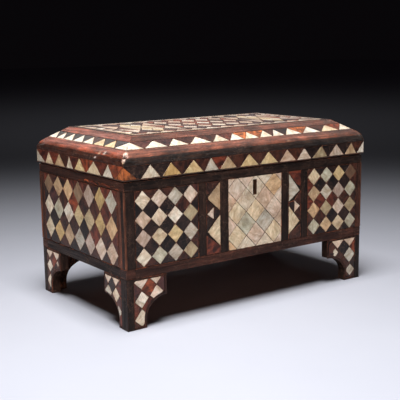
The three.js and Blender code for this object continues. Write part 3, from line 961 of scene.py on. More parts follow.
near_lines, far_lines = (75.5, 107.5, 140, 172), (83, 113.5, 143.5, 172.6)
end_words = words("""
    umber tan peach umber mauve gold ash
    ivory sage white yellow olive gold peach
    cream gold tan grey mauve pink blush""")
end_dark = words("""
    red brown brown red red brown red red
    black plum brown rust brown brown red brown
    plum black brown brown black red brown red
    black black brown black black brown black brown""")
lozenge_panel("left", "left", 7, 3, end_words, end_dark, seed=13, jitter=0.8,
              warp=fanned_rows(extent("left", "left_shell"), 7, near_lines, far_lines, True))
right_words = words("""
    ash cream tan umber sage yellow olive
    pink yellow ivory mauve cream tan sage
    tan grey pink gold white olive cream""")
lozenge_panel("right", "right", 7, 3, right_words, [row[::-1] for row in end_dark], seed=14,
              jitter=0.8, warp=fanned_rows(extent("right", "right_shell"), 7, near_lines,
                                           far_lines, False))

# %% [markdown]
# The back is plainer: three by two larger lozenges on each side of a sheet of plain
# tortoiseshell. The sheet is laid as four pieces, since no shell gives one that large.

# %% Back panels
back_words = words("""
    ash tan olive
    mauve cream grey""")
back_dark = words("""
    brown black brown black
    black plum brown brown
    brown black black brown""")
lozenge_panel("back", "back_left", 3, 2, back_words, back_dark, seed=15, jitter=0.7)
lozenge_panel("back", "back_right", 3, 2, [row[::-1] for row in back_words], back_dark, seed=16,
              jitter=0.7)


def back_sheet():
    rng = random.Random(17)
    sheet = Gather()
    box = extent("back", "back_middle_veneer")
    middle_x, middle_y = 3, (box[2] + box[3]) / 2 + 4
    for left, right in ((box[0], middle_x), (middle_x, box[1])):
        for bottom, top in ((box[2], middle_y), (middle_y, box[3])):
            tint = varied(SHELL["brown"], rng, 0.2)
            lay_tile(sheet, upright["back"], rectangle(left, right, bottom, top), tint, rng,
                     joint=0.25, angle=0)
    lay_bed(sheet, upright["back"], box, 1, rng)
    sheet.make("back_middle_veneer_laid", [shell, mastic], "tortoiseshell", ["back_middle_veneer"])


back_sheet()

# %% [markdown]
# ## Stiles
# Beside the middle panel stand two narrow stiles. Each has two tall pearl triangles with their
# long sides on the inner edge, and a small one between them that points outwards. The rest is
# tortoiseshell, cut to the triangles. A stile and its mirror image share one description: u runs
# from the outer edge (0) to the inner edge (1).

# %% Stile tiles
def stile(end, mirrored, tints, dark_tints, seed):
    rng = random.Random(seed)
    name = f"front_stile_{end}"
    pearls, shells = Gather(), Gather()
    left, right, bottom, top = extent("front", name + "_shell")

    def at(u, y):
        return (right - (right - left) * u if mirrored else left + (right - left) * u, y)

    shift = -3 if mirrored else 0
    high, waist, low = 171 + shift * 0.4, 130.7 + shift, 87 + shift * 0.7
    upper_tip, lower_tip, small = 151.5 + shift * 2.3, 107.5 + shift * 2, 130.8 + shift * 2.6
    flat, reach, neck = 0.53, 8.6 if mirrored else 8.2, 2.6
    pearl_shapes = [
        [at(1, waist + neck), at(1, high), at(0.07, upper_tip)],
        [at(1, low), at(1, waist - neck), at(0.07, lower_tip)],
        [at(flat, small - reach), at(flat, small + reach), at(0.05, small)]]
    shell_shapes = [
        [at(0, top), at(1, top), at(1, high), at(0.3, (high + upper_tip) / 2 - 4),
         at(0, upper_tip + 5)],
        [at(0, bottom), at(1, bottom), at(1, low), at(0, lower_tip - 4)],
        [at(1, waist - neck), at(1, waist + neck), at(flat + 0.02, small + reach),
         at(flat + 0.02, small - reach)],
        [at(0, small + 1), at(flat, small + reach + 0.6), at(0.1, upper_tip - 2),
         at(0, upper_tip - 2)],
        [at(0, small - 1), at(0, lower_tip + 2), at(0.1, lower_tip + 2),
         at(flat, small - reach - 0.6)]]
    for outline, tint in zip(pearl_shapes, tints):
        lay_tile(pearls, upright["front"], outline, varied(PEARL[tint], rng), rng)
    for outline, tint in zip(shell_shapes, dark_tints):
        lay_tile(shells, upright["front"], outline, varied(SHELL[tint], rng), rng, chip=0)
    lay_bed(shells, upright["front"], (left, right, bottom, top), 1, rng)
    make_pearls(pearls, name)
    make_shell(shells, name)


stile("left", False, ["tan", "cream", "pink"], ["brown", "red", "black", "brown", "black"], 21)
stile("right", True, ["ash", "cream", "pink"], ["red", "brown", "black", "brown", "brown"], 22)

# %% [markdown]
# ## The middle panel
# This panel is pearl all over, with the key slot in it. The tile that holds the slot is a ring:
# its outline and the slot's outline are sampled at the same angles and joined, so the slot has
# clean pearl sides.

# %% Middle panel
SLOT = {"half": 3.3, "bottom": 147.5, "top": 168.0}
SQUARE = {"diagonal": 32.0, "x": 1.4, "y": 126.4}


def ray_hits(outline, centre, angles):
    """Where rays from the centre leave a convex outline."""
    hits = []
    for angle in angles:
        ray = np.array([math.cos(angle), math.sin(angle)])
        best = None
        for k, corner in enumerate(outline):
            edge = outline[(k + 1) % len(outline)] - corner
            across = ray[0] * edge[1] - ray[1] * edge[0]
            if abs(across) < 1e-9:
                continue
            gone = corner - centre
            distance = (gone[0] * edge[1] - gone[1] * edge[0]) / across
            along = (gone[0] * ray[1] - gone[1] * ray[0]) / across
            if distance > 0 and -1e-6 <= along <= 1 + 1e-6:
                best = distance if best is None else min(best, distance)
        hits.append(centre + ray * best)
    return np.array(hits)


def holed_plate(gather, plane, outline, slot, low, high, tint, rng, finish_index=0, soft=0.2):
    """A plate from low to high with a slot through it. soft is how far its arrises are eased."""
    outline = [np.asarray(corner, float) for corner in outline]
    slot = [np.asarray(corner, float) for corner in slot]
    centre = np.mean(slot, axis=0)
    angles = {math.atan2(*(corner - centre)[::-1]) for corner in outline + slot}
    angles |= {-math.pi + 0.02 + k * math.pi / 12 for k in range(24)}
    angles = sorted(angles)
    angles = [a for k, a in enumerate(angles) if k == 0 or a - angles[k - 1] > 1e-4]
    outer, inner = ray_hits(outline, centre, angles), ray_hits(slot, centre, angles)
    count = len(angles)
    into = outer + (centre - outer) * 0.02
    out = inner + (inner - centre) * 0.04
    rings = [(outer, low), (outer, high - soft), (into, high), (out, high), (inner, high - soft),
             (inner, low)]
    points = np.concatenate([np.column_stack([ring, np.full(count, level)])
                             for ring, level in rings])
    faces = []
    for k in range(len(rings)):
        faces += ring_faces(k * count, (k + 1) % len(rings) * count, count)
    rims = np.repeat([1, 1, 0.3, 0.5, 1, 1], count)
    places = figure_places(points, rng.uniform(0, 3), rng)
    gather.add(plane.place(points), faces, tint, rims, places, finish_index)


print("plate with a slot ready")

# %% [markdown]
# The squares stand cornerwise too, in rows of four and three. Their colours are written down row
# by row from the top.

# %% Laying the middle panel
MIDDLE_WORDS = words("""
    pink pink ivory pink
    pink ivory peach
    blush ivory blush pink
    cream cream pink
    pink sage ash blush
    cream pink cream
    peach ivory ivory pink""")


def middle_panel():
    rng = random.Random(31)
    panel = Gather()
    box = extent("front", "front_middle_pearls")
    half = SQUARE["diagonal"] / 2
    slot = rectangle(-SLOT["half"], SLOT["half"], SLOT["bottom"], SLOT["top"])
    tints = {(2 * k - len(row) + 1, 3 - n): tint
             for n, row in enumerate(MIDDLE_WORDS) for k, tint in enumerate(row)}
    for i in range(-4, 5):
        for j in range(-4, 5):
            if (i + j) % 2:
                continue
            x, y = SQUARE["x"] + i * half, SQUARE["y"] + j * half
            outline = cut_to_box([(x - half, y), (x, y - half), (x + half, y), (x, y + half)], box)
            if len(outline) < 3:
                continue
            tint = varied(PEARL[tints.get((i, j), "pink")], rng, 0.04)
            if (i, j) == (0, 2):
                outline = moved_edges(tidy(outline), -JOINT / 2)
                holed_plate(panel, upright["front"], outline, slot, -TILE_DEPTH, 0, tint, rng)
            else:
                lay_tile(panel, upright["front"], outline, tint, rng, joint=0.5, chip=0.24)
    holed_plate(panel, upright["front"], rectangle(*box), slot, -SKIN, -TILE_DEPTH, WOOD["dark"],
                rng, 1, soft=0.02)
    panel.make("front_middle_pearls_laid", [pearl, mastic], "pearl", ["front_middle_pearls"])


middle_panel()

# %% [markdown]
# ## Strips of the four faces
# Dark strips frame the panels. The upper long strip of a face runs from corner to corner. The
# lower one ends in a short block at each corner. The upright strips stand between the two, and a
# thin strip, rubbed pale, covers each vertical arris of the casket. A black strip sunk behind the
# face, just under the lid, is painted shade: it makes the dark shadow line between box and lid.

# %% Strips
PANEL_LOW, PANEL_HIGH = extent("front", "front_left_shell")[2:]
CORNER_BLOCK = {"long": 13.0, "gap": 0.4}
PAINTED_SHADOW_STRIP = {"sunk": 1.3, "high": 1.4, "inset": 1.5}
ARRIS = {"out": 0.1, "in": 0.9, "beside": 0.8}
LONG_GAP, UPRIGHT_GAP = 0.3, 0.15


def strips(side, uprights, long_tints, seed):
    """uprights are (left, right, tint) of the standing strips between the long ones."""
    rng = random.Random(seed)
    gather = Gather()
    left, right, bottom, top = extent(side, side + "_strips")
    plane, upper, lower = upright[side], PANEL_HIGH + LONG_GAP, PANEL_LOW - LONG_GAP
    upper_tint, lower_tint = (WOOD[tint] for tint in long_tints)
    lay_strip(gather, plane, left, right, upper, top - PAINTED_SHADOW_STRIP["sunk"], upper_tint, rng)
    # The sunk black strip under the lid is painted shade for the shadow line between box and lid.
    lay_strip(gather, plane.raised(-PAINTED_SHADOW_STRIP["sunk"]), left + PAINTED_SHADOW_STRIP["inset"],
              right - PAINTED_SHADOW_STRIP["inset"], top - PAINTED_SHADOW_STRIP["high"], top, SHELL["black"], rng, 1,
              SKIN - PAINTED_SHADOW_STRIP["sunk"])
    block, gap = CORNER_BLOCK["long"], CORNER_BLOCK["gap"]
    lay_strip(gather, plane, left + block, right - block, bottom, lower, lower_tint, rng)
    for start in (left, right - block + gap):
        lay_strip(gather, plane, start, start + block - gap, bottom, lower, WOOD["warm"], rng)
    for start, stop, tint in uprights:
        lay_strip(gather, plane, start + UPRIGHT_GAP, stop - UPRIGHT_GAP, PANEL_LOW, PANEL_HIGH,
                  WOOD[tint], rng)
    gather.make(side + "_strips_laid", [dark_wood, mastic], "dark_wood", [side + "_strips"])


print("strips ready")

# %% [markdown]
# The upright strips fill the gaps between the panels, so only their colours are written down.

# %% Strips of a face
def face_strips(side, names, tints, seed, long_tints):
    """Fills the gaps beside the named panels. tints has the colours gap by gap, + parts strips."""
    edges = [extent(side, name)[:2] for name in names]
    ends = extent(side, side + "_strips")[:2]
    starts = [ends[0]] + [right for _, right in edges]
    stops = [left for left, _ in edges] + [ends[1]]
    uprights = []
    for start, stop, gap in zip(starts, stops, tints.split()):
        parts = gap.split("+")
        width = (stop - start) / len(parts)
        for k, tint in enumerate(parts):
            uprights.append((start + width * k, start + width * (k + 1), tint))
    (first, stop, tint), (start, last, last_tint) = uprights[0], uprights[-1]
    uprights[0] = (first + ARRIS["beside"], stop, tint)
    uprights[-1] = (start, last - ARRIS["beside"], last_tint)
    uprights += [(first - ARRIS["out"], first + ARRIS["in"], "rubbed"),
                 (last - ARRIS["in"], last + ARRIS["out"], "rubbed")]
    strips(side, uprights, long_tints, seed)


face_strips("front", ["front_left_shell", "front_stile_left_shell", "front_middle_pearls",
                      "front_stile_right_shell", "front_right_shell"],
            "dark dark dark dark dark warm", 41, ("dark", "warm"))
face_strips("left", ["left_shell"], "warm reddish+dark", 42, ("warm", "dark"))

# %% [markdown]
# On the left end the upper strip has come loose. Slivers of it stand off the face, each one a
# tile with a ragged outline at one of three heights.

# %% Loose veneer
def loose_veneer():
    rng = random.Random(45)
    loose = Gather()
    ground = upright["left"].raised(0.75)
    for k in range(11):
        start, low = -4 + 9.6 * k, rng.uniform(173, 177)
        long, high = rng.uniform(9, 19), rng.uniform(1.6, 3.6)
        drop = rng.uniform(-2.2, 2.2)
        outline = [(start, low), (start + long * 0.4, low + drop * 0.2 - 0.6),
                   (start + long, low + drop), (start + long * 0.8, low + drop + high),
                   (start + long * 0.3, low + high * 0.8)]
        tint = varied(SHELL[("red", "brown", "rust", "red")[k % 4]], rng, 0.15)
        lay_tile(loose, ground.raised(0.1 * (k % 3)), outline, tint, rng, angle=0.0, chip=0,
                 wobble=0.4)
    loose.make("left_strips_loose_veneer", [dark_wood], "dark_wood", ["left_strips"])


loose_veneer()
face_strips("right", ["right_shell"], "dark+reddish warm", 43, ("warm", "dark"))
face_strips("back", ["back_left_shell", "back_middle_veneer", "back_right_shell"],
            "dark dark dark dark", 44, ("dark", "warm"))

# %% [markdown]
# ## Bracket feet
# Each foot is two brackets mitred at the corner. A bracket is straight down its free end near the
# top and then hollows in a quarter of an ellipse to a narrow toe. The wooden core is lofted from
# outlines at four depths, which slant away from the corner to make the mitre. On its face lie a
# border and the same lozenge tiles as above, filed to the hollow where they meet it.

# %% Bracket outline
BRACKET = {"thick": 12.5, "shoulder": 38.0, "ankle": 12.0, "veneer": 1.0}
FOOT_TOP = 64.7
MITRE_GAP = 0.12
HOLLOW_STEPS = 15


def foot_sizes(side, end):
    """Width and toe of a bracket of the solid model. The toe is the width of its lowest part."""
    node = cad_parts[f"foot_{side}_{end}"]
    points = np.array([vertex.co for vertex in node.data.vertices]) / MM
    local = (points - upright[side].origin) @ upright[side].axes.T
    u = half_length[side] - local[:, 0] if end == "right" else local[:, 0] + half_length[side]
    return u.max(), u[points[:, 2] < 1].max()


def hollow_curve(width, toe, grow=0.0):
    """Points of the hollow from the ankle to the shoulder: distance from the corner, and height."""
    angles = np.linspace(math.pi, math.pi / 2, HOLLOW_STEPS)
    across, rise = width - toe, BRACKET["shoulder"] - BRACKET["ankle"]
    return [(width + (across + grow) * math.cos(a), BRACKET["ankle"] + (rise + grow) * math.sin(a))
            for a in angles]


def bracket_outline(width, toe):
    """From the foot of the mitre along the toe, up the hollow, and back along the top."""
    ankle, shoulder = BRACKET["ankle"], BRACKET["shoulder"]
    hollow = [(u, y) for u, y in hollow_curve(width, toe) if u < width]
    return ([(u, 0.0) for u in np.linspace(0, toe, 5)] + [(toe, ankle / 2)] + hollow
            + [(width, shoulder + 1), (width, (shoulder + FOOT_TOP) / 2)]
            + [(u, FOOT_TOP) for u in np.linspace(width, 0, 7)]
            + [(0.0, y) for y in np.linspace(FOOT_TOP, 0, 9)[1:-1]])


print("bracket outline ready")

# %% [markdown]
# The core is a stack of such outlines, each slanted a little further away from the corner.

# %% Bracket core
def capped_loft(gather, plane, rings, tint, rng, rim_values, mirrored):
    """Joins rings of equal number, with a cap on the first and the last."""
    count = len(rings[0])
    points = np.concatenate(rings)
    faces = beam_faces(len(rings), count)
    if not mirrored:
        faces = flipped(faces)
    places = figure_places(points[:, [1, 0, 2]], 0, rng)
    gather.add(plane.place(points), faces, tint, np.repeat(rim_values, count), places)


def bracket_core(gather, side, end, width, toe, rng, veneer):
    sign = 1 if end == "left" else -1
    thick, middle = BRACKET["thick"], (width * 0.4, 36)

    def mitred(outline, depth, inset=0.0):
        """Slants the outline away from the corner as it goes deeper, and draws in its edge."""
        ring = []
        for u, y in outline:
            slant = depth * max(0.0, 1 - u / (toe - 1)) + MITRE_GAP * (u < 0.01)
            shrink = inset if u > 0.01 else 0
            length = math.hypot(middle[0] - u, middle[1] - y)
            along = u + slant + (middle[0] - u) * shrink / length
            ring.append((sign * (along - half_length[side]),
                         y + (middle[1] - y) * shrink / length, -depth))
        return ring

    wobbly = [(u + (rng.uniform(-0.25, 0.25) if 1 < u else 0),
               y + (rng.uniform(-0.25, 0.25) if 1 < y < 60 else 0))
              for u, y in bracket_outline(width, toe)]
    rings = [mitred(wobbly, veneer, 0.1), mitred(wobbly, veneer + 0.3),
             mitred(wobbly, thick - 0.7), mitred(wobbly, thick, 0.6)]
    capped_loft(gather, upright[side], rings, varied(WOOD["dark"], rng, 0.1) * 1.3, rng,
                [0.6, 0.3, 0.2, 1.0], sign < 0)


print("bracket core ready")

# %% [markdown]
# The border has four parts: strips down the corner, along the top and under the toe, and a narrow
# band that follows the hollow. The band is a ribbon of quads between two curves, with a rounded
# outer arris.

# %% Bracket border
BORDER = {"top": 2.2, "bottom": 3.0}


def ribbon(gather, plane, outer, inner, depth, tint, rng):
    """A closed band between two rows of points of equal number, rounded along the outer row."""
    outer, inner = np.array(outer), np.array(inner)
    count, drawn = len(outer), outer + (inner - outer) * 0.15
    rows = [(outer, depth), (outer, -0.3), (drawn, 0.0), (inner, 0.0), (inner, depth)]
    points = np.concatenate([np.column_stack([row, np.full(count, level)]) for row, level in rows])
    total = len(rows)
    faces = [tuple(k * count for k in range(total)),
             tuple(k * count + count - 1 for k in reversed(range(total)))]
    for k in range(total):
        a, b = k * count, (k + 1) % total * count
        faces += [(a + i, a + i + 1, b + i + 1, b + i) for i in range(count - 1)]
    area, _ = area_and_centre(np.concatenate([outer, inner[::-1]]))
    if area < 0:
        faces = flipped(faces)
    places = figure_places(points[:, [1, 0, 2]], 0, rng)
    gather.add(plane.place(points), faces, tint, np.repeat([1, 1, 0.7, 0.2, 0.2], count), places)


print("ribbon ready")

# %% [markdown]
# Tiles that reach into the hollow are pushed back to the edge of the band, as if filed to it. One
# of which too little would stay is left out.

# %% Bracket face
GRID = {"start": 20.5, "step": 11.0, "first": 61.5, "drop": 12.0, "corner": 9.6, "curve": 3.4,
        "lean": 0.0, "moved": {}}


def bracket_face(cores, pearls, side, end, width, toe, tiles, grid, rng):
    """Lays the border and the tiles of one bracket. tiles holds their tints, grid their places."""
    sign = 1 if end == "left" else -1
    plane, depth = upright[side], -BRACKET["veneer"] + 0.02
    corner, curve_border = grid["corner"], grid["curve"]
    top_edge, bottom_edge = FOOT_TOP - BORDER["top"], BORDER["bottom"]
    ankle, shoulder = BRACKET["ankle"], BRACKET["shoulder"]

    def at(u, y):
        return (sign * (u - half_length[side]), y)

    for start, stop, low, high, tint in (
            (0, corner, 0, FOOT_TOP, "dark"),
            (corner + 0.2, width, top_edge + 0.2, FOOT_TOP, "warm"),
            (corner + 0.2, toe, 0, bottom_edge - 0.2, "warm")):
        ends = sorted((at(start, 0)[0], at(stop, 0)[0]))
        lay_strip(cores, plane, *ends, low, high, varied(WOOD[tint], rng), rng, thick=-depth)

    def beside_hollow(border, turn):
        """A line from the toe round the hollow to the top, a border's width off the edge."""
        curve = [(min(u, width - border), y) for u, y in hollow_curve(width, toe, border)]
        return [at(*p) for p in (
            (toe - border, bottom_edge), (toe - border, 8), *curve,
            (width - border, shoulder + turn), (width - border, top_edge))]

    ribbon(cores, plane, beside_hollow(0.0, 6), beside_hollow(curve_border, 6.5), depth,
           varied(WOOD["warm"], rng, 0.1), rng)
    field = (*sorted((at(corner + 0.2, 0)[0], at(width - curve_border - 0.3, 0)[0])), bottom_edge,
             top_edge - 0.1)
    grow = curve_border + 0.3
    wide, tall = width - toe + grow, shoulder - ankle + grow

    def clear_of_hollow(ring):
        """Moves points in the hollow to the edge of the ribbon, and off the toe's band."""
        moved = ring.copy()
        for k, (x, y) in enumerate(ring):
            u = sign * x + half_length[side]
            if y < ankle:
                u = min(u, toe - grow)
            else:
                du, dy = (u - width) / wide, (y - ankle) / tall
                far = math.hypot(du, dy)
                if u < width and 0 < far < 1:
                    u, y = width + du / far * wide, ankle + dy / far * tall
            moved[k] = at(u, y)
        return moved

    def kept(outline):
        """Whether enough of a tile stays once the hollow is taken from it."""
        if len(outline) < 3:
            return False
        before, _ = area_and_centre(outline)
        ring = clear_of_hollow(wavering(tidy(outline), random.Random(1), wobble=0))
        after, _ = area_and_centre(ring)
        return abs(after) > 14 and abs(after) > 0.12 * abs(before)

    def lozenge(u, y, scale):
        across, up = grid["step"] * scale, grid["drop"] * scale
        tips = ((u - across, y), (u, y - up), (u + across, y), (u, y + up))
        outline = [at(x, y + (x - grid["start"]) * grid["lean"]) for x, y in tips]
        return cut_to_box(outline[::sign], field)

    for (column, row), tint in tiles.items():
        along, rise, scale = grid["moved"].get((column, row), (0, 0, 1))
        u, y = grid["start"] + grid["step"] * column, grid["first"] - grid["drop"] * row
        if scale < 1 and kept(lozenge(u, y, 1)):
            lay_tile(cores, plane.raised(-0.2), lozenge(u, y, 1), varied(SHELL["brown"], rng), rng,
                     1, hollow=clear_of_hollow, chip=0)
        outline = lozenge(u + along, y + rise, scale)
        if not kept(outline):
            continue
        if tint in PEARL:
            lay_tile(pearls, plane, outline, varied(PEARL[tint], rng), rng,
                     hollow=clear_of_hollow, joint=1.1)
        else:
            lay_tile(cores, plane, outline, varied(SHELL[tint], rng), rng, 1,
                     hollow=clear_of_hollow, joint=0.2, lift=0.02)


print("bracket face ready")

# %% [markdown]
# The tiles of a foot are written down by column and row in half tiles, from the corner and from
# the top. Pearl has even numbers and tortoiseshell odd ones. GRID holds the usual places: where
# the first column and row are, the steps between them, how wide the corner strip and the curved
# band are. A foot may change any of them, let its rows lean, or say of single tiles how far they
# are moved and how much smaller they are. A dark tile under a smaller one fills what it leaves.
# The brackets at the back are plain wood.

# %% Feet
FOOT_PEARLS = [(0, 0), (2, 0), (0, 2), (2, 2), (0, 4)]
FOOT_SHELLS = [(-1, -1), (1, -1), (3, -1), (-1, 1), (1, 1), (3, 1), (-1, 3), (1, 3), (3, 3),
               (-1, 5), (1, 5)]


def foot(side, end, seed, pearl_words="", shell_words="", **grid):
    """One bracket. Without words it is plain, and its core runs to the surface."""
    rng = random.Random(seed)
    name = f"foot_{side}_{end}"
    width, toe = foot_sizes(side, end)
    cores, pearls = Gather(), Gather()
    if not pearl_words:
        bracket_core(cores, side, end, width, toe, rng, veneer=0.0)
        cores.make(name + "_made", [dark_wood], "dark_wood", [name])
        return
    bracket_core(cores, side, end, width, toe, rng, BRACKET["veneer"])
    tiles = dict(zip(FOOT_PEARLS + FOOT_SHELLS, pearl_words.split() + shell_words.split()))
    bracket_face(cores, pearls, side, end, width, toe, tiles, GRID | grid, rng)
    cores.make(name + "_made", [dark_wood, shell], "dark_wood", [name])
    make_pearls(pearls, name)


foot("front", "left", 51, "pink pink white pink ivory",
     "brown brown brown plum rust plum red red red brown brown",
     lean=0.15, moved={(2, 2): (0, 1, 0.95), (0, 2): (0, -0.5, 0.97)})
foot("front", "right", 52, "pink pink ash ivory ash",
     "brown brown brown rust black brown black brown brown brown brown",
     step=12.0, moved={(2, 2): (5.5, 7, 0.62), (0, 4): (-1.5, 1, 0.8)})
foot("left", "right", 53, "pink pink ivory ash ash",
     "red brown brown red black brown plum brown brown red brown",
     start=27.5, step=9.5, drop=10.3, corner=15.0, curve=1.5,
     moved={(0, 4): (-5.5, 0, 0.95)})
foot("left", "left", 54, "pink pink white pink ivory",
     "brown brown brown brown rust brown brown brown brown brown brown",
     start=19.0, drop=11.0, corner=10.5, moved={(2, 2): (3, 8, 0.5), (0, 2): (0, 0.5, 0.9)})
foot("right", "left", 55, "ivory pink ivory white ash",
     "brown brown brown black rust brown brown black brown brown brown")
foot("right", "right", 56, "ash ivory pink ivory ivory",
     "brown brown brown brown brown brown rust black brown brown brown")
foot("back", "left", 57)
foot("back", "right", 58)

# %% [markdown]
# ## Lid rails
# Four bevelled rails, mitred at the corners, carry the lid. A rail is one section swept along its
# side. A point of the section that lies further out also reaches further to both ends, which
# makes the mitre by itself. The crest is rounded by two centuries of hands and is dented here and
# there. Noise that depends on the place in space gives two rails the same dents where they meet.

# %% Rail section
RAIL = {"overhang": 2.2, "low": 186.0, "band": (187.3, 203.8), "slope_start": (5.0, 217.5),
        "slope_end": (33.0, 235.5), "tiles": (11.1, 23.2), "wall": 13.0, "bearing": 210.5,
        "board": 223.5}


def slope_point(inset, depth=0.0):
    """Out and height of a point on the slope, moved a depth into the rail."""
    (start, low), (stop, high) = RAIL["slope_start"], RAIL["slope_end"]
    angle = math.atan2(high - low, stop - start)
    height = low + (inset - start) * math.tan(angle)
    return -inset - depth * math.sin(angle), height - depth * math.cos(angle)


def rail_section():
    """(out, height, colour, rim, how much it is dented), from the lower outer edge upwards."""
    over, seat = RAIL["overhang"], SKIN + 0.3
    low, high = RAIL["band"]
    outer, inner = RAIL["tiles"]
    wall, board = -RAIL["wall"], -RAIL["slope_end"][0]
    band = [(over - 0.5, 186.2, "dust", 1.0, 0.2), (over - 0.25, 186.6, "dust", 0.9, 0.3),
            (over - 0.2, low - 0.3, "dark", 0.3, 0.2), (over - seat, low - 0.3, "dark", 0, 0),
            (over - seat, high + 0.3, "dark", 0, 0), (over, high + 0.3, "dark", 0.7, 0.2)]
    # The crest is one wood, dark below about 212 mm and reddish above: the dark is painted shade
    # where it turns away from the light, the reddish part painted light where it turns towards it.
    crest = [(over - 0.02, 205.2, "dark", 0.4, 0.5), (2.0, 206.8, "dark", 0.1, 0.7),
             (1.65, 208.6, "dark", 0.0, 0.8), (1.05, 210.5, "dark", 0.05, 1.0),
             (0.1, 212.4, "dark", 0.1, 1.0), (-0.5, 213.3, "reddish", 0.6, 1.0),
             (-1.2, 214.3, "reddish", 0.5, 1.0), (-2.9, 216.0, "reddish", 0.5, 1.0),
             (-5.0, 217.5, "reddish", 0.3, 0.8)]
    slope = [(*slope_point(inset), "reddish", 0.05, 0.4) for inset in (6.4, 8.2, 9.8)]
    slope += [(*slope_point(outer - 0.3), "reddish", 0.5, 0.1),
              (*slope_point(outer - 0.3, seat), "dark", 0, 0),
              (*slope_point(inner + 0.3, seat), "dark", 0, 0),
              (*slope_point(inner + 0.3), "reddish", 0.5, 0.1)]
    slope += [(*slope_point(inset), "reddish", 0.05, 0.3) for inset in (24.8, 26.8, 29.0, 31.2)]
    inside = [(*slope_point(32.6), "reddish", 0.7, 0.2), (board, 235.3, "dark", 1.0, 0),
              (board, RAIL["board"], "dark", 0, 0), (wall, RAIL["bearing"], "dark", 0, 0),
              (wall, RAIL["low"], "dark", 0, 0)]
    return band + crest + slope + inside


section = rail_section()
print("rail section:", len(section), "points")

# %% [markdown]
# Most chips show the pale ground under the finish, and a few are dark. A cluster of them sits at
# the front-left corner of the crest, where the mitre has opened. Its pale pink chips are partly
# broken wood and partly a painted highlight on that corner. A chip is a ball-shaped dent: points
# within its radius sink in and take its colour.

# %% Chips
# The first four chips, pale pink, are partly broken wood at the mitre and partly a painted
# highlight on that corner.
CHIPS = [((-193.6, -109.4, 219.3), 4.0, 0.4, "blush"), ((-196.3, -112.2, 218.2), 4.4, 0.6, "pink"),
         ((-200.2, -115.6, 212.4), 3.4, 0.6, "blush"), ((-194.0, -115.2, 216.6), 3.2, 0.4, "mauve"),
         ((-198.4, -113.9, 215.4), 3.3, 3.6, "black"), ((-201.2, -117.0, 208.6), 1.8, 0.4, "tan"),
         ((-198.0, -67.0, 216.2), 3.2, 1.2, "ivory"), ((-199.0, -56.0, 215.2), 2.4, 0.8, "peach"),
         ((-201.5, -48.0, 209.0), 1.5, 0.4, "white"), ((-199.5, -88.0, 214.5), 2.6, 0.8, "rust"),
         ((-158.0, -117.3, 207.5), 7.0, 0.5, "black"), ((-146.0, -117.3, 207.0), 7.0, 0.5, "black"),
         ((60.0, -115.0, 216.0), 2.6, 0.7, "tan"), ((150.0, -114.5, 216.4), 3.0, 0.8, "rust"),
         ((198.5, 113.0, 216.6), 5.0, 1.6, "tan"), ((-60.0, 114.5, 216.4), 4.0, 0.9, "rust"),
         ((198.0, -20.0, 216.4), 3.6, 0.9, "tan")]
GROUND = {**PEARL, **SHELL}


def stations_along(length, fine=1.3, coarse=4.0, near=24):
    """Fractions from -1 to 1, close together near the mitres."""
    far = 2 * length - near
    stations = np.concatenate([np.arange(0, near, fine), np.arange(near, far, coarse),
                               np.arange(far, 2 * length, fine), [2 * length]])
    return stations / length - 1


def uneven(spot, broad, broad_scale, fine, fine_scale):
    """Broad noise with finer noise on top, at a place in space."""
    spot = Vector(spot)
    return broad * noise.noise(spot * broad_scale) + fine * noise.noise(spot * fine_scale)


print("chips:", len(CHIPS))

# %% [markdown]
# The sweep repeats the section along the side. The noise at a point's place in space moves the
# point and changes its tone.

# %% Sweep
CREST_CORE = (-16, 203)
BAND_SEAT = (3, 4)


def sweep(gather, side, section, tint_of, rng, finish_index=0, dents=0.0):
    """Sweeps a closed section of (out, height, colour, rim, dent) along a side, mitred at its ends.

    Dents and chips push a point towards the core of the crest."""
    plane, length = upright[side], half_length[side]
    stations = stations_along(length)
    steps = [math.dist(a[:2], b[:2]) for a, b in zip(section, section[1:])]
    around = np.concatenate([[0], np.cumsum(steps)])
    points, rims, tints, places = [], [], [], []
    shift = [rng.uniform(0, 900) for _ in range(3)]
    for t in stations:
        for k, (out, height, color, rim, dent) in enumerate(section):
            spot = plane.place([t * (length + out), height, out])
            tint = tint_of(color)
            if dent > 0.6:
                tint = tint * (1 + uneven(spot, 0.8, 0.06, 0.3, 0.3))
            sink = 0.0
            if dents and dent:
                sink = max(-0.25, uneven(spot, 0.7, 0.045, 0.3, 0.2)) * dents * dent
                for centre, radius, depth, ground in CHIPS:
                    near = 1 - math.dist(spot, centre) / radius
                    if near > 0:
                        ragged = near * (1.2 + noise.noise(Vector(spot) * 0.9) * 1.6)
                        sink += depth * min(1, ragged * 1.6)
                        tint = tint + (GROUND[ground] - tint) * min(1, ragged * 2.2)
            inwards = out - CREST_CORE[0], height - CREST_CORE[1]
            lean = math.hypot(*inwards)
            low_out = out - sink * inwards[0] / lean
            low_height = height - sink * inwards[1] / lean
            x = t * (length + low_out)
            if abs(t) > 0.999:
                x = math.copysign(abs(x) - MITRE_GAP, t)
            points.append((x, low_height, low_out))
            at_mitre = length * (1 - abs(t)) < 0.8 and k not in BAND_SEAT
            rims.append(max(rim, 0.9 if at_mitre else 0))
            tints.append(tint)
            places.append((t * length + shift[0], around[k] + shift[1], shift[2]))
    faces = beam_faces(len(stations), len(section))
    gather.add(plane.place(points), faces, np.array(tints), rims, places, finish_index)


print("sweep ready")

# %% [markdown]
# The tones of the left rail are lighter and warmer than those of the other three. This is painted
# light on that side.

# %% Rails
# Painted light: these factors make the left rail's tones lighter and warmer.
LEFT_RAIL_PAINTED_LIGHT = {"reddish": (1.7, 1.15, 0.95), "dark": (2.2, 1.2, 0.9)}

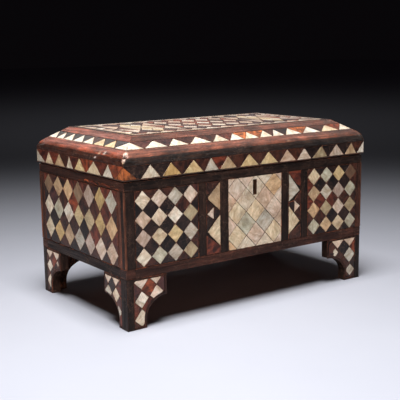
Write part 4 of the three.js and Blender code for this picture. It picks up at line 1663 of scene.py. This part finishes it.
for number, side in enumerate(directions):
    rng = random.Random(61 + number)
    rail = Gather()
    tones = {name: varied(color, rng, 0.08) for name, color in WOOD.items()}
    for name, lightening in LEFT_RAIL_PAINTED_LIGHT.items() if side == "left" else ():
        tones[name] = tones[name] * np.array(lightening)
    sweep(rail, side, section, tones.get, rng, dents=1.3)
    rail.make(f"lid_rail_{side}_made", [rail_wood], "dark_wood", [f"lid_rail_{side}"])

# %% [markdown]
# ## Rows of triangles
# Two rows of pearl triangles run round the lid, one on the upright side and one on the slope. A
# row is written down triangle by triangle: where its base starts and ends, where its tip is, and
# its colour. The tortoiseshell between two of them is whatever shape is left.

# %% Rows
ROW_END = 0.15


def between_teeth(teeth, low, high, left_edge, right_edge):
    """Outlines of the tiles between neighbouring triangles, and of the two at the ends.

    An edge is given by where it stands at the base and at the height of the tips."""
    starts = [left_edge] + [(stop, tip) for _, stop, tip, _ in teeth]
    stops = [(start, tip) for start, _, tip, _ in teeth] + [right_edge]
    return [[(a, low), (c, low), (d, high), (b, high)] for (a, b), (c, d) in zip(starts, stops)]


def lay_row(pearls, shells, plane, teeth, dark_words, low, high, left_edge, right_edge, rng,
            reach=0.6):
    """Lays one row. reach is how far below the upper edge a tip may stay."""
    for start, stop, tip, tint in teeth:
        outline = [(start, low), (stop, low), (tip, high - rng.uniform(0.2, reach))]
        lay_tile(pearls, plane, outline, varied(PEARL[tint], rng), rng, joint=0.25, lift=0.1)
    outlines = between_teeth(teeth, low, high, left_edge, right_edge)
    for outline, tint in zip(outlines, dark_words):
        lay_tile(shells, plane, outline, varied(SHELL[tint], rng, 0.15), rng, chip=0.45, joint=0.3)


def even_teeth(length, count, names, rng, halves):
    """A row of equal triangles with small differences. names are the colours, taken in turn.

    With halves, room for half a triangle stays free at each end."""
    free = 0.5 if halves else 0
    pitch = 2 * length / (count + 2 * free)
    edges = [-length + pitch * (k + free) for k in range(count + 1)]
    edges = [edge + (rng.uniform(-2, 2) if 0 < k < count else 0) for k, edge in enumerate(edges)]
    teeth = []
    for k, (start, stop) in enumerate(zip(edges, edges[1:])):
        tip = (start + stop) / 2 + rng.uniform(-1.2, 1.2)
        start, stop = start + rng.uniform(0.2, 1.2), stop - rng.uniform(0.2, 1.2)
        teeth.append((start, stop, tip, names[k % len(names)]))
    return teeth


print("rows ready")

# %% [markdown]
# The row on the upright side starts and ends with half a triangle. At the front-left corner both
# halves are clear orange tortoiseshell, and at the other corners they are pearl.

# %% The upright row
BAND_TEETH = {
    "front": [(-177, -149.5, -164, "ivory"), (-147, -118.5, -134, "gold"),
              (-116, -85, -100, "yellow"), (-83.5, -61, -73, "ash"),
              (-59, -31.5, -46.5, "tan"), (-26, 5.5, -11.5, "yellow"),
              (7, 39, 22, "yellow"), (41.5, 71, 54.7, "blush"), (73, 99, 86, "pink"),
              (101, 129.7, 118.5, "olive"), (132, 162, 147, "pink"), (163.5, 187, 177, "tan")],
    "left": [(-91, -66.4, -80, "cream"), (-63, -33, -49, "tan"), (-28, -10, -20, "ivory"),
             (-6, 23, 8, "yellow"), (27, 64, 46, "cream"), (68, 94, 81.6, "white")]}
BAND_DARK = {
    "front": "black black brown brown red brown brown brown brown black black black brown",
    "left": "red red brown red rust red rust",
    "back": "brown black brown red brown black brown brown black brown red brown brown",
    "right": "brown red brown black brown brown black"}
BAND_ENDS = {"front": ("orange", "white"), "left": ("grey", "orange"), "right": ("ivory", "pink"),
             "back": ("ash", "tan")}
BAND_HALVES = {("front", "left"): -183, ("left", "right"): 98}


def upright_row(side, rng):
    reach = half_length[side] + RAIL["overhang"] - ROW_END
    low, high = RAIL["band"]
    plane = upright[side].raised(RAIL["overhang"])
    names = "ivory cream pink ash yellow tan olive".split()
    teeth = BAND_TEETH.get(side) or even_teeth(reach, 12 if side == "back" else 6, names, rng, True)
    left = BAND_HALVES.get((side, "left"), teeth[0][0] - 1.0)
    right = BAND_HALVES.get((side, "right"), teeth[-1][1] + 1.0)
    for edge, inner, tint in zip((-reach, reach), (left, right), BAND_ENDS[side]):
        outline = [(edge, low), (inner, low), (edge, high - 0.4)]
        colors, gather = (PEARL, band_pearls) if tint in PEARL else (SHELL, band_shells)
        lay_tile(gather, plane, outline, varied(colors[tint], rng), rng, joint=0.25, chip=0)
    lay_row(band_pearls, band_shells, plane, teeth, BAND_DARK[side].split(), low, high,
            (left, -reach + 0.1), (right, reach - 0.1), rng)


band_pearls, band_shells = Gather(), Gather()
for number, side in enumerate(directions):
    rng = random.Random(71 + number)
    upright_row(side, rng)
    low, high = RAIL["band"]
    bed = [(RAIL["overhang"] - depth, height, "dark", 0, 0) for height, depth in (
        (low, SKIN), (low, TILE_DEPTH), (high, TILE_DEPTH), (high, SKIN))]
    sweep(band_shells, side, bed, WOOD.get, rng, 1)
make_pearls(band_pearls, "lid_band")
make_shell(band_shells, "lid_band")

# %% [markdown]
# The row on the slope is cut to the mitre at both ends. Its plane leans inwards, and its
# triangles point to the top. Here and there a clear orange piece stands between the darker ones.

# %% The slope row
SLOPE_TEETH = {
    "front": [(-163, -129, -144, "white"), (-128, -97, -114, "white"), (-96, -61.5, -80, "white"),
              (-60, -34, -46, "ivory"), (-32, -8, -20, "white"), (-6.5, 17, 3.5, "ivory"),
              (18, 40.5, 32, "ivory"), (41, 62, 51, "white"), (63.5, 94.5, 76, "white"),
              (95, 129, 112, "white"), (130, 164, 147, "cream")],
    "left": [(-82, -61, -72, "ivory"), (-61, -35, -48, "white"), (-34, -7, -21, "white"),
             (-6, 20, 6, "white"), (21, 48, 34, "yellow"), (50, 75, 62, "yellow")]}
SLOPE_DARK = {
    # The two plum pieces at the left end of the front row are painted sheen: lighter, lilac tiles
    # where the shell catches the light.
    "front": "plum plum brown brown red orange orange brown black orange brown rust",
    "left": "black black black black brown black black",
    "back": "brown black rust brown black brown black orange brown black brown black",
    "right": "black brown black rust black brown black"}
outer_inset, inner_inset = RAIL["tiles"]
slope_outer, slope_inner = slope_point(outer_inset), slope_point(inner_inset)
slope_rise = math.dist(slope_outer, slope_inner)


def slope_row(side, rng):
    across, up, out = upright[side].axes
    direction = up * (slope_inner[1] - slope_outer[1]) + out * (slope_inner[0] - slope_outer[0])
    plane = Plane(upright[side].place([0, slope_outer[1], slope_outer[0]]), across,
                  direction / slope_rise)
    low_reach = half_length[side] - outer_inset - ROW_END
    high_reach = half_length[side] - inner_inset - ROW_END
    names = "white ivory white cream white pink".split()
    teeth = SLOPE_TEETH.get(side) or even_teeth(low_reach, 13 if side == "back" else 8, names, rng,
                                                False)[1:-1]
    first, last, tip = teeth[0][0] - 1, teeth[-1][1] + 1, high_reach + 1.2
    for sign, inner in ((-1, first), (1, last)):
        outline = [(sign * low_reach, 0), (inner, 0), (sign * tip, slope_rise - 0.4)]
        lay_tile(slope_pearls, plane, outline, varied(PEARL["white"], rng), rng, joint=0.25, chip=0)
    lay_row(slope_pearls, slope_shells, plane, teeth, SLOPE_DARK[side].split(), 0, slope_rise,
            (first, -tip), (last, tip), rng, 0.8)


slope_pearls, slope_shells = Gather(), Gather()
for number, side in enumerate(directions):
    rng = random.Random(81 + number)
    slope_row(side, rng)
    bed = [(*slope_point(inset, depth), "dark", 0, 0) for inset, depth in (
        (outer_inset, SKIN), (outer_inset, TILE_DEPTH), (inner_inset, TILE_DEPTH),
        (inner_inset, SKIN))]
    sweep(slope_shells, side, bed, WOOD.get, rng, 1)
make_pearls(slope_pearls, "lid_slope")
make_shell(slope_shells, "lid_slope")

# %% [markdown]
# ## Top of the lid
# The flat board of the lid carries a dark border and a fillet of short pearl lengths all round.
# Inside them a row of pearl teeth runs along each side, and dark strips part off three fields: a
# fine lattice in the middle and an hourglass at each end. The measures below go inwards from the
# edge, except that of the middle field, which goes out from the centre. Every strip and tile is
# laid on one plane, and the dark ones are gathered into one piece, the veneer.

# %% Border and fillet
TOP = {"border": 7.0, "fillet": 4.5, "row": 12.5, "field_inset": 26.0, "middle": 60.0, "gap": 5.0}
TOP_SEAM = 0.3
top_high = np.array(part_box("lid_top_veneer")[1]) / MM
top_plane = Plane((0, 0, top_high[2]), (1, 0, 0), (0, 1, 0))
reach_x, reach_y = top_high[:2]
fillet_x, fillet_y = reach_x - TOP["border"], reach_y - TOP["border"]
teeth_x, teeth_y = (reach - TOP["fillet"] - TOP_SEAM for reach in (fillet_x, fillet_y))
strip_x, strip_y = (reach - TOP["row"] - TOP_SEAM for reach in (teeth_x, teeth_y))
field_x, field_y = reach_x - TOP["field_inset"], reach_y - TOP["field_inset"]
top_veneer, top_fillet = Gather(), Gather()


def top_strip(x, y, rng):
    """A dark strip between two x and two y."""
    lay_strip(top_veneer, top_plane, *sorted(x), *sorted(y), WOOD["dark"], rng, 2, TILE_DEPTH)


def border_strips(rng):
    for y in (-reach_y, fillet_y):
        top_strip((-reach_x, reach_x), (y, y + TOP["border"]), rng)
    for x in (-reach_x, fillet_x):
        top_strip((x, x + TOP["border"]), (-fillet_y + 0.2, fillet_y - 0.2), rng)


def fillet_lengths(rng):
    """Pearl lengths of uneven size. A short rest at the end of a side goes to the last one."""
    tints = "blush pink tan mauve cream blush pink mauve".split()
    width = TOP["fillet"]
    for sign in (-1, 1):
        for length, lay_x in ((fillet_x, True), (fillet_y - width, False)):
            start, end = -length + 0.1, length - 0.1
            while start < length - 0.2:
                stop = min(start + rng.uniform(17, 30), end)
                stop = end if length - stop < 9 else stop
                edge = (fillet_y if lay_x else fillet_x) * sign
                near, far = sorted((edge, edge - sign * width))
                box = (start, stop, near, far) if lay_x else (near, far, start, stop)
                tint = varied(PEARL[rng.choice(tints)], rng)
                lay_tile(top_fillet, top_plane, rectangle(*box), tint, rng, joint=0.3,
                         angle=0.0 if lay_x else math.pi / 2)
                start = stop


rng = random.Random(91)
border_strips(rng)
fillet_lengths(rng)
print("border and fillet laid")

# %% [markdown]
# The rows of teeth use the same helper as those on the sides of the lid. Each row has a plane of
# its own, turned so that its triangles stand on the fillet and point inwards.

# %% Teeth and strips round the fields
def top_rows(rng):
    names = "pink white blush pink white pink blush mauve".split()
    high = TOP["row"]
    for ax, ay in directions.values():
        plane = Plane((0, 0, top_high[2]), (ax, ay, 0), (-ay, ax, 0))
        along, outward = (teeth_x, teeth_y) if ax else (teeth_y, teeth_x)
        length = along - high - 1
        teeth = even_teeth(length, round(2 * length / 23.5), names, rng, False)
        darks = [rng.choice("red brown rust brown plum".split()) for _ in range(len(teeth) + 1)]
        lay_row(top_fillet, top_veneer, plane, teeth, darks, -outward, high - outward,
                (-along, high - along), (along, along - high), rng, 1.5)


def field_strips(rng):
    for sign in (-1, 1):
        top_strip((-strip_x, strip_x), (sign * field_y, sign * strip_y), rng)
        for first, last in ((field_x, strip_x), (TOP["middle"], TOP["middle"] + TOP["gap"])):
            top_strip((sign * first, sign * last), (-field_y + 0.1, field_y - 0.1), rng)


top_rows(rng)
field_strips(rng)
lay_bed(top_veneer, top_plane, (-reach_x, reach_x, -reach_y, reach_y), 1, rng)
top_fillet.make("lid_top_fillet_laid", [pearl], "pearl", ["lid_top_fillet"])

# %% [markdown]
# Each half of an hourglass is a large triangle built up from small ones, pearl pointing one way
# and tortoiseshell the other. Between the two halves stand two lozenges, each cut in four, and
# dark triangles fill the rest.

# %% Hourglass
def built_triangle(pearls, shells, base_start, base_stop, tip, parts, names, rng):
    """Fills a triangle with rows of small ones between its base and its tip."""
    base_start, base_stop, tip = (np.array(p, float) for p in (base_start, base_stop, tip))

    def at(i, j):
        row_start = base_start + (tip - base_start) * j / parts
        return row_start + (base_stop - base_start) * i / parts

    for j in range(parts):
        for i in range(parts - j):
            tint = varied(PEARL[names[(i + 2 * j) % len(names)]], rng)
            lay_tile(pearls, top_plane, [at(i, j), at(i + 1, j), at(i, j + 1)], tint, rng)
            if i < parts - j - 1:
                tint = varied(SHELL[rng.choice(["red", "brown", "plum", "rust"])], rng)
                outline = [at(i + 1, j), at(i + 1, j + 1), at(i, j + 1)]
                lay_tile(shells, top_plane, outline, tint, rng)


def quartered_lozenge(pearls, middle, y, half_wide, half_high, rng):
    corners = [np.array(p) for p in ((middle - half_wide, y), (middle, y - half_high),
                                     (middle + half_wide, y), (middle, y + half_high))]
    sides = [(a + b) / 2 for a, b in zip(corners, corners[1:] + corners[:1])]
    for k, corner in enumerate(corners):
        outline = [corner, sides[k], np.array([middle, y]), sides[k - 1]]
        tint = varied(PEARL["yellow" if k % 2 else "ivory"], rng)
        lay_tile(pearls, top_plane, outline, tint, rng)


def hourglass_field(name, left, right, seed, names):
    rng = random.Random(seed)
    pearls = Gather()
    middle, half_wide = (left + right) / 2, (right - left) * 0.22
    for x in (left, right):
        built_triangle(pearls, top_veneer, (x, -field_y), (x, field_y), (middle, 0), 2, names, rng)
    for sign in (-1, 1):
        y = sign * field_y / 2
        quartered_lozenge(pearls, middle, y, half_wide, field_y / 2, rng)
        for edge, end in ((middle - half_wide, left), (middle + half_wide, right)):
            for inner, tints in (((middle, sign * field_y), ["brown", "plum"]),
                                 ((middle, 0), ["brown", "black"])):
                tint = varied(SHELL[rng.choice(tints)], rng)
                outline = [(edge, y), inner, (end, sign * field_y)]
                lay_tile(top_veneer, top_plane, outline, tint, rng)
    make_pearls(pearls, f"lid_top_{name}")


print("hourglass ready")

# %% [markdown]
# The middle field is the lattice of the panels again, with wider joints round the pearls.

# %% Middle field
def lattice_field(seed, columns, rows, names):
    rng = random.Random(seed)
    pearls = Gather()
    box = (-TOP["middle"], TOP["middle"], -field_y, field_y)
    lattice = Lattice(columns, rows, even_grid(box, columns, rows), rng, 0.4)
    for column, row, outline in lattice.pearls():
        tint = varied(PEARL[names[(column * 2 + row * 3) % len(names)]], rng)
        lay_tile(pearls, top_plane, cut_to_box(outline, box), tint, rng, joint=3.0)
    for column, row, outline in lattice.between():
        tint = varied(SHELL[rng.choice(["red", "brown", "rust", "plum"])], rng)
        lay_tile(top_veneer, top_plane, cut_to_box(outline, box), tint, rng, joint=-1.2)
    make_pearls(pearls, "lid_top_middle")


field_edge = TOP["middle"] + TOP["gap"]
hourglass_field("left", -field_x, -field_edge, 92, "pink blush cream white pink".split())
hourglass_field("right", field_edge, field_x, 93, "mauve blush tan ash pink".split())
lattice_field(94, 5, 3, "pink white blush pink ivory blush".split())
top_veneer.make("lid_top_veneer_laid", [shell, mastic, dark_wood], "tortoiseshell",
                ["lid_top_veneer"])
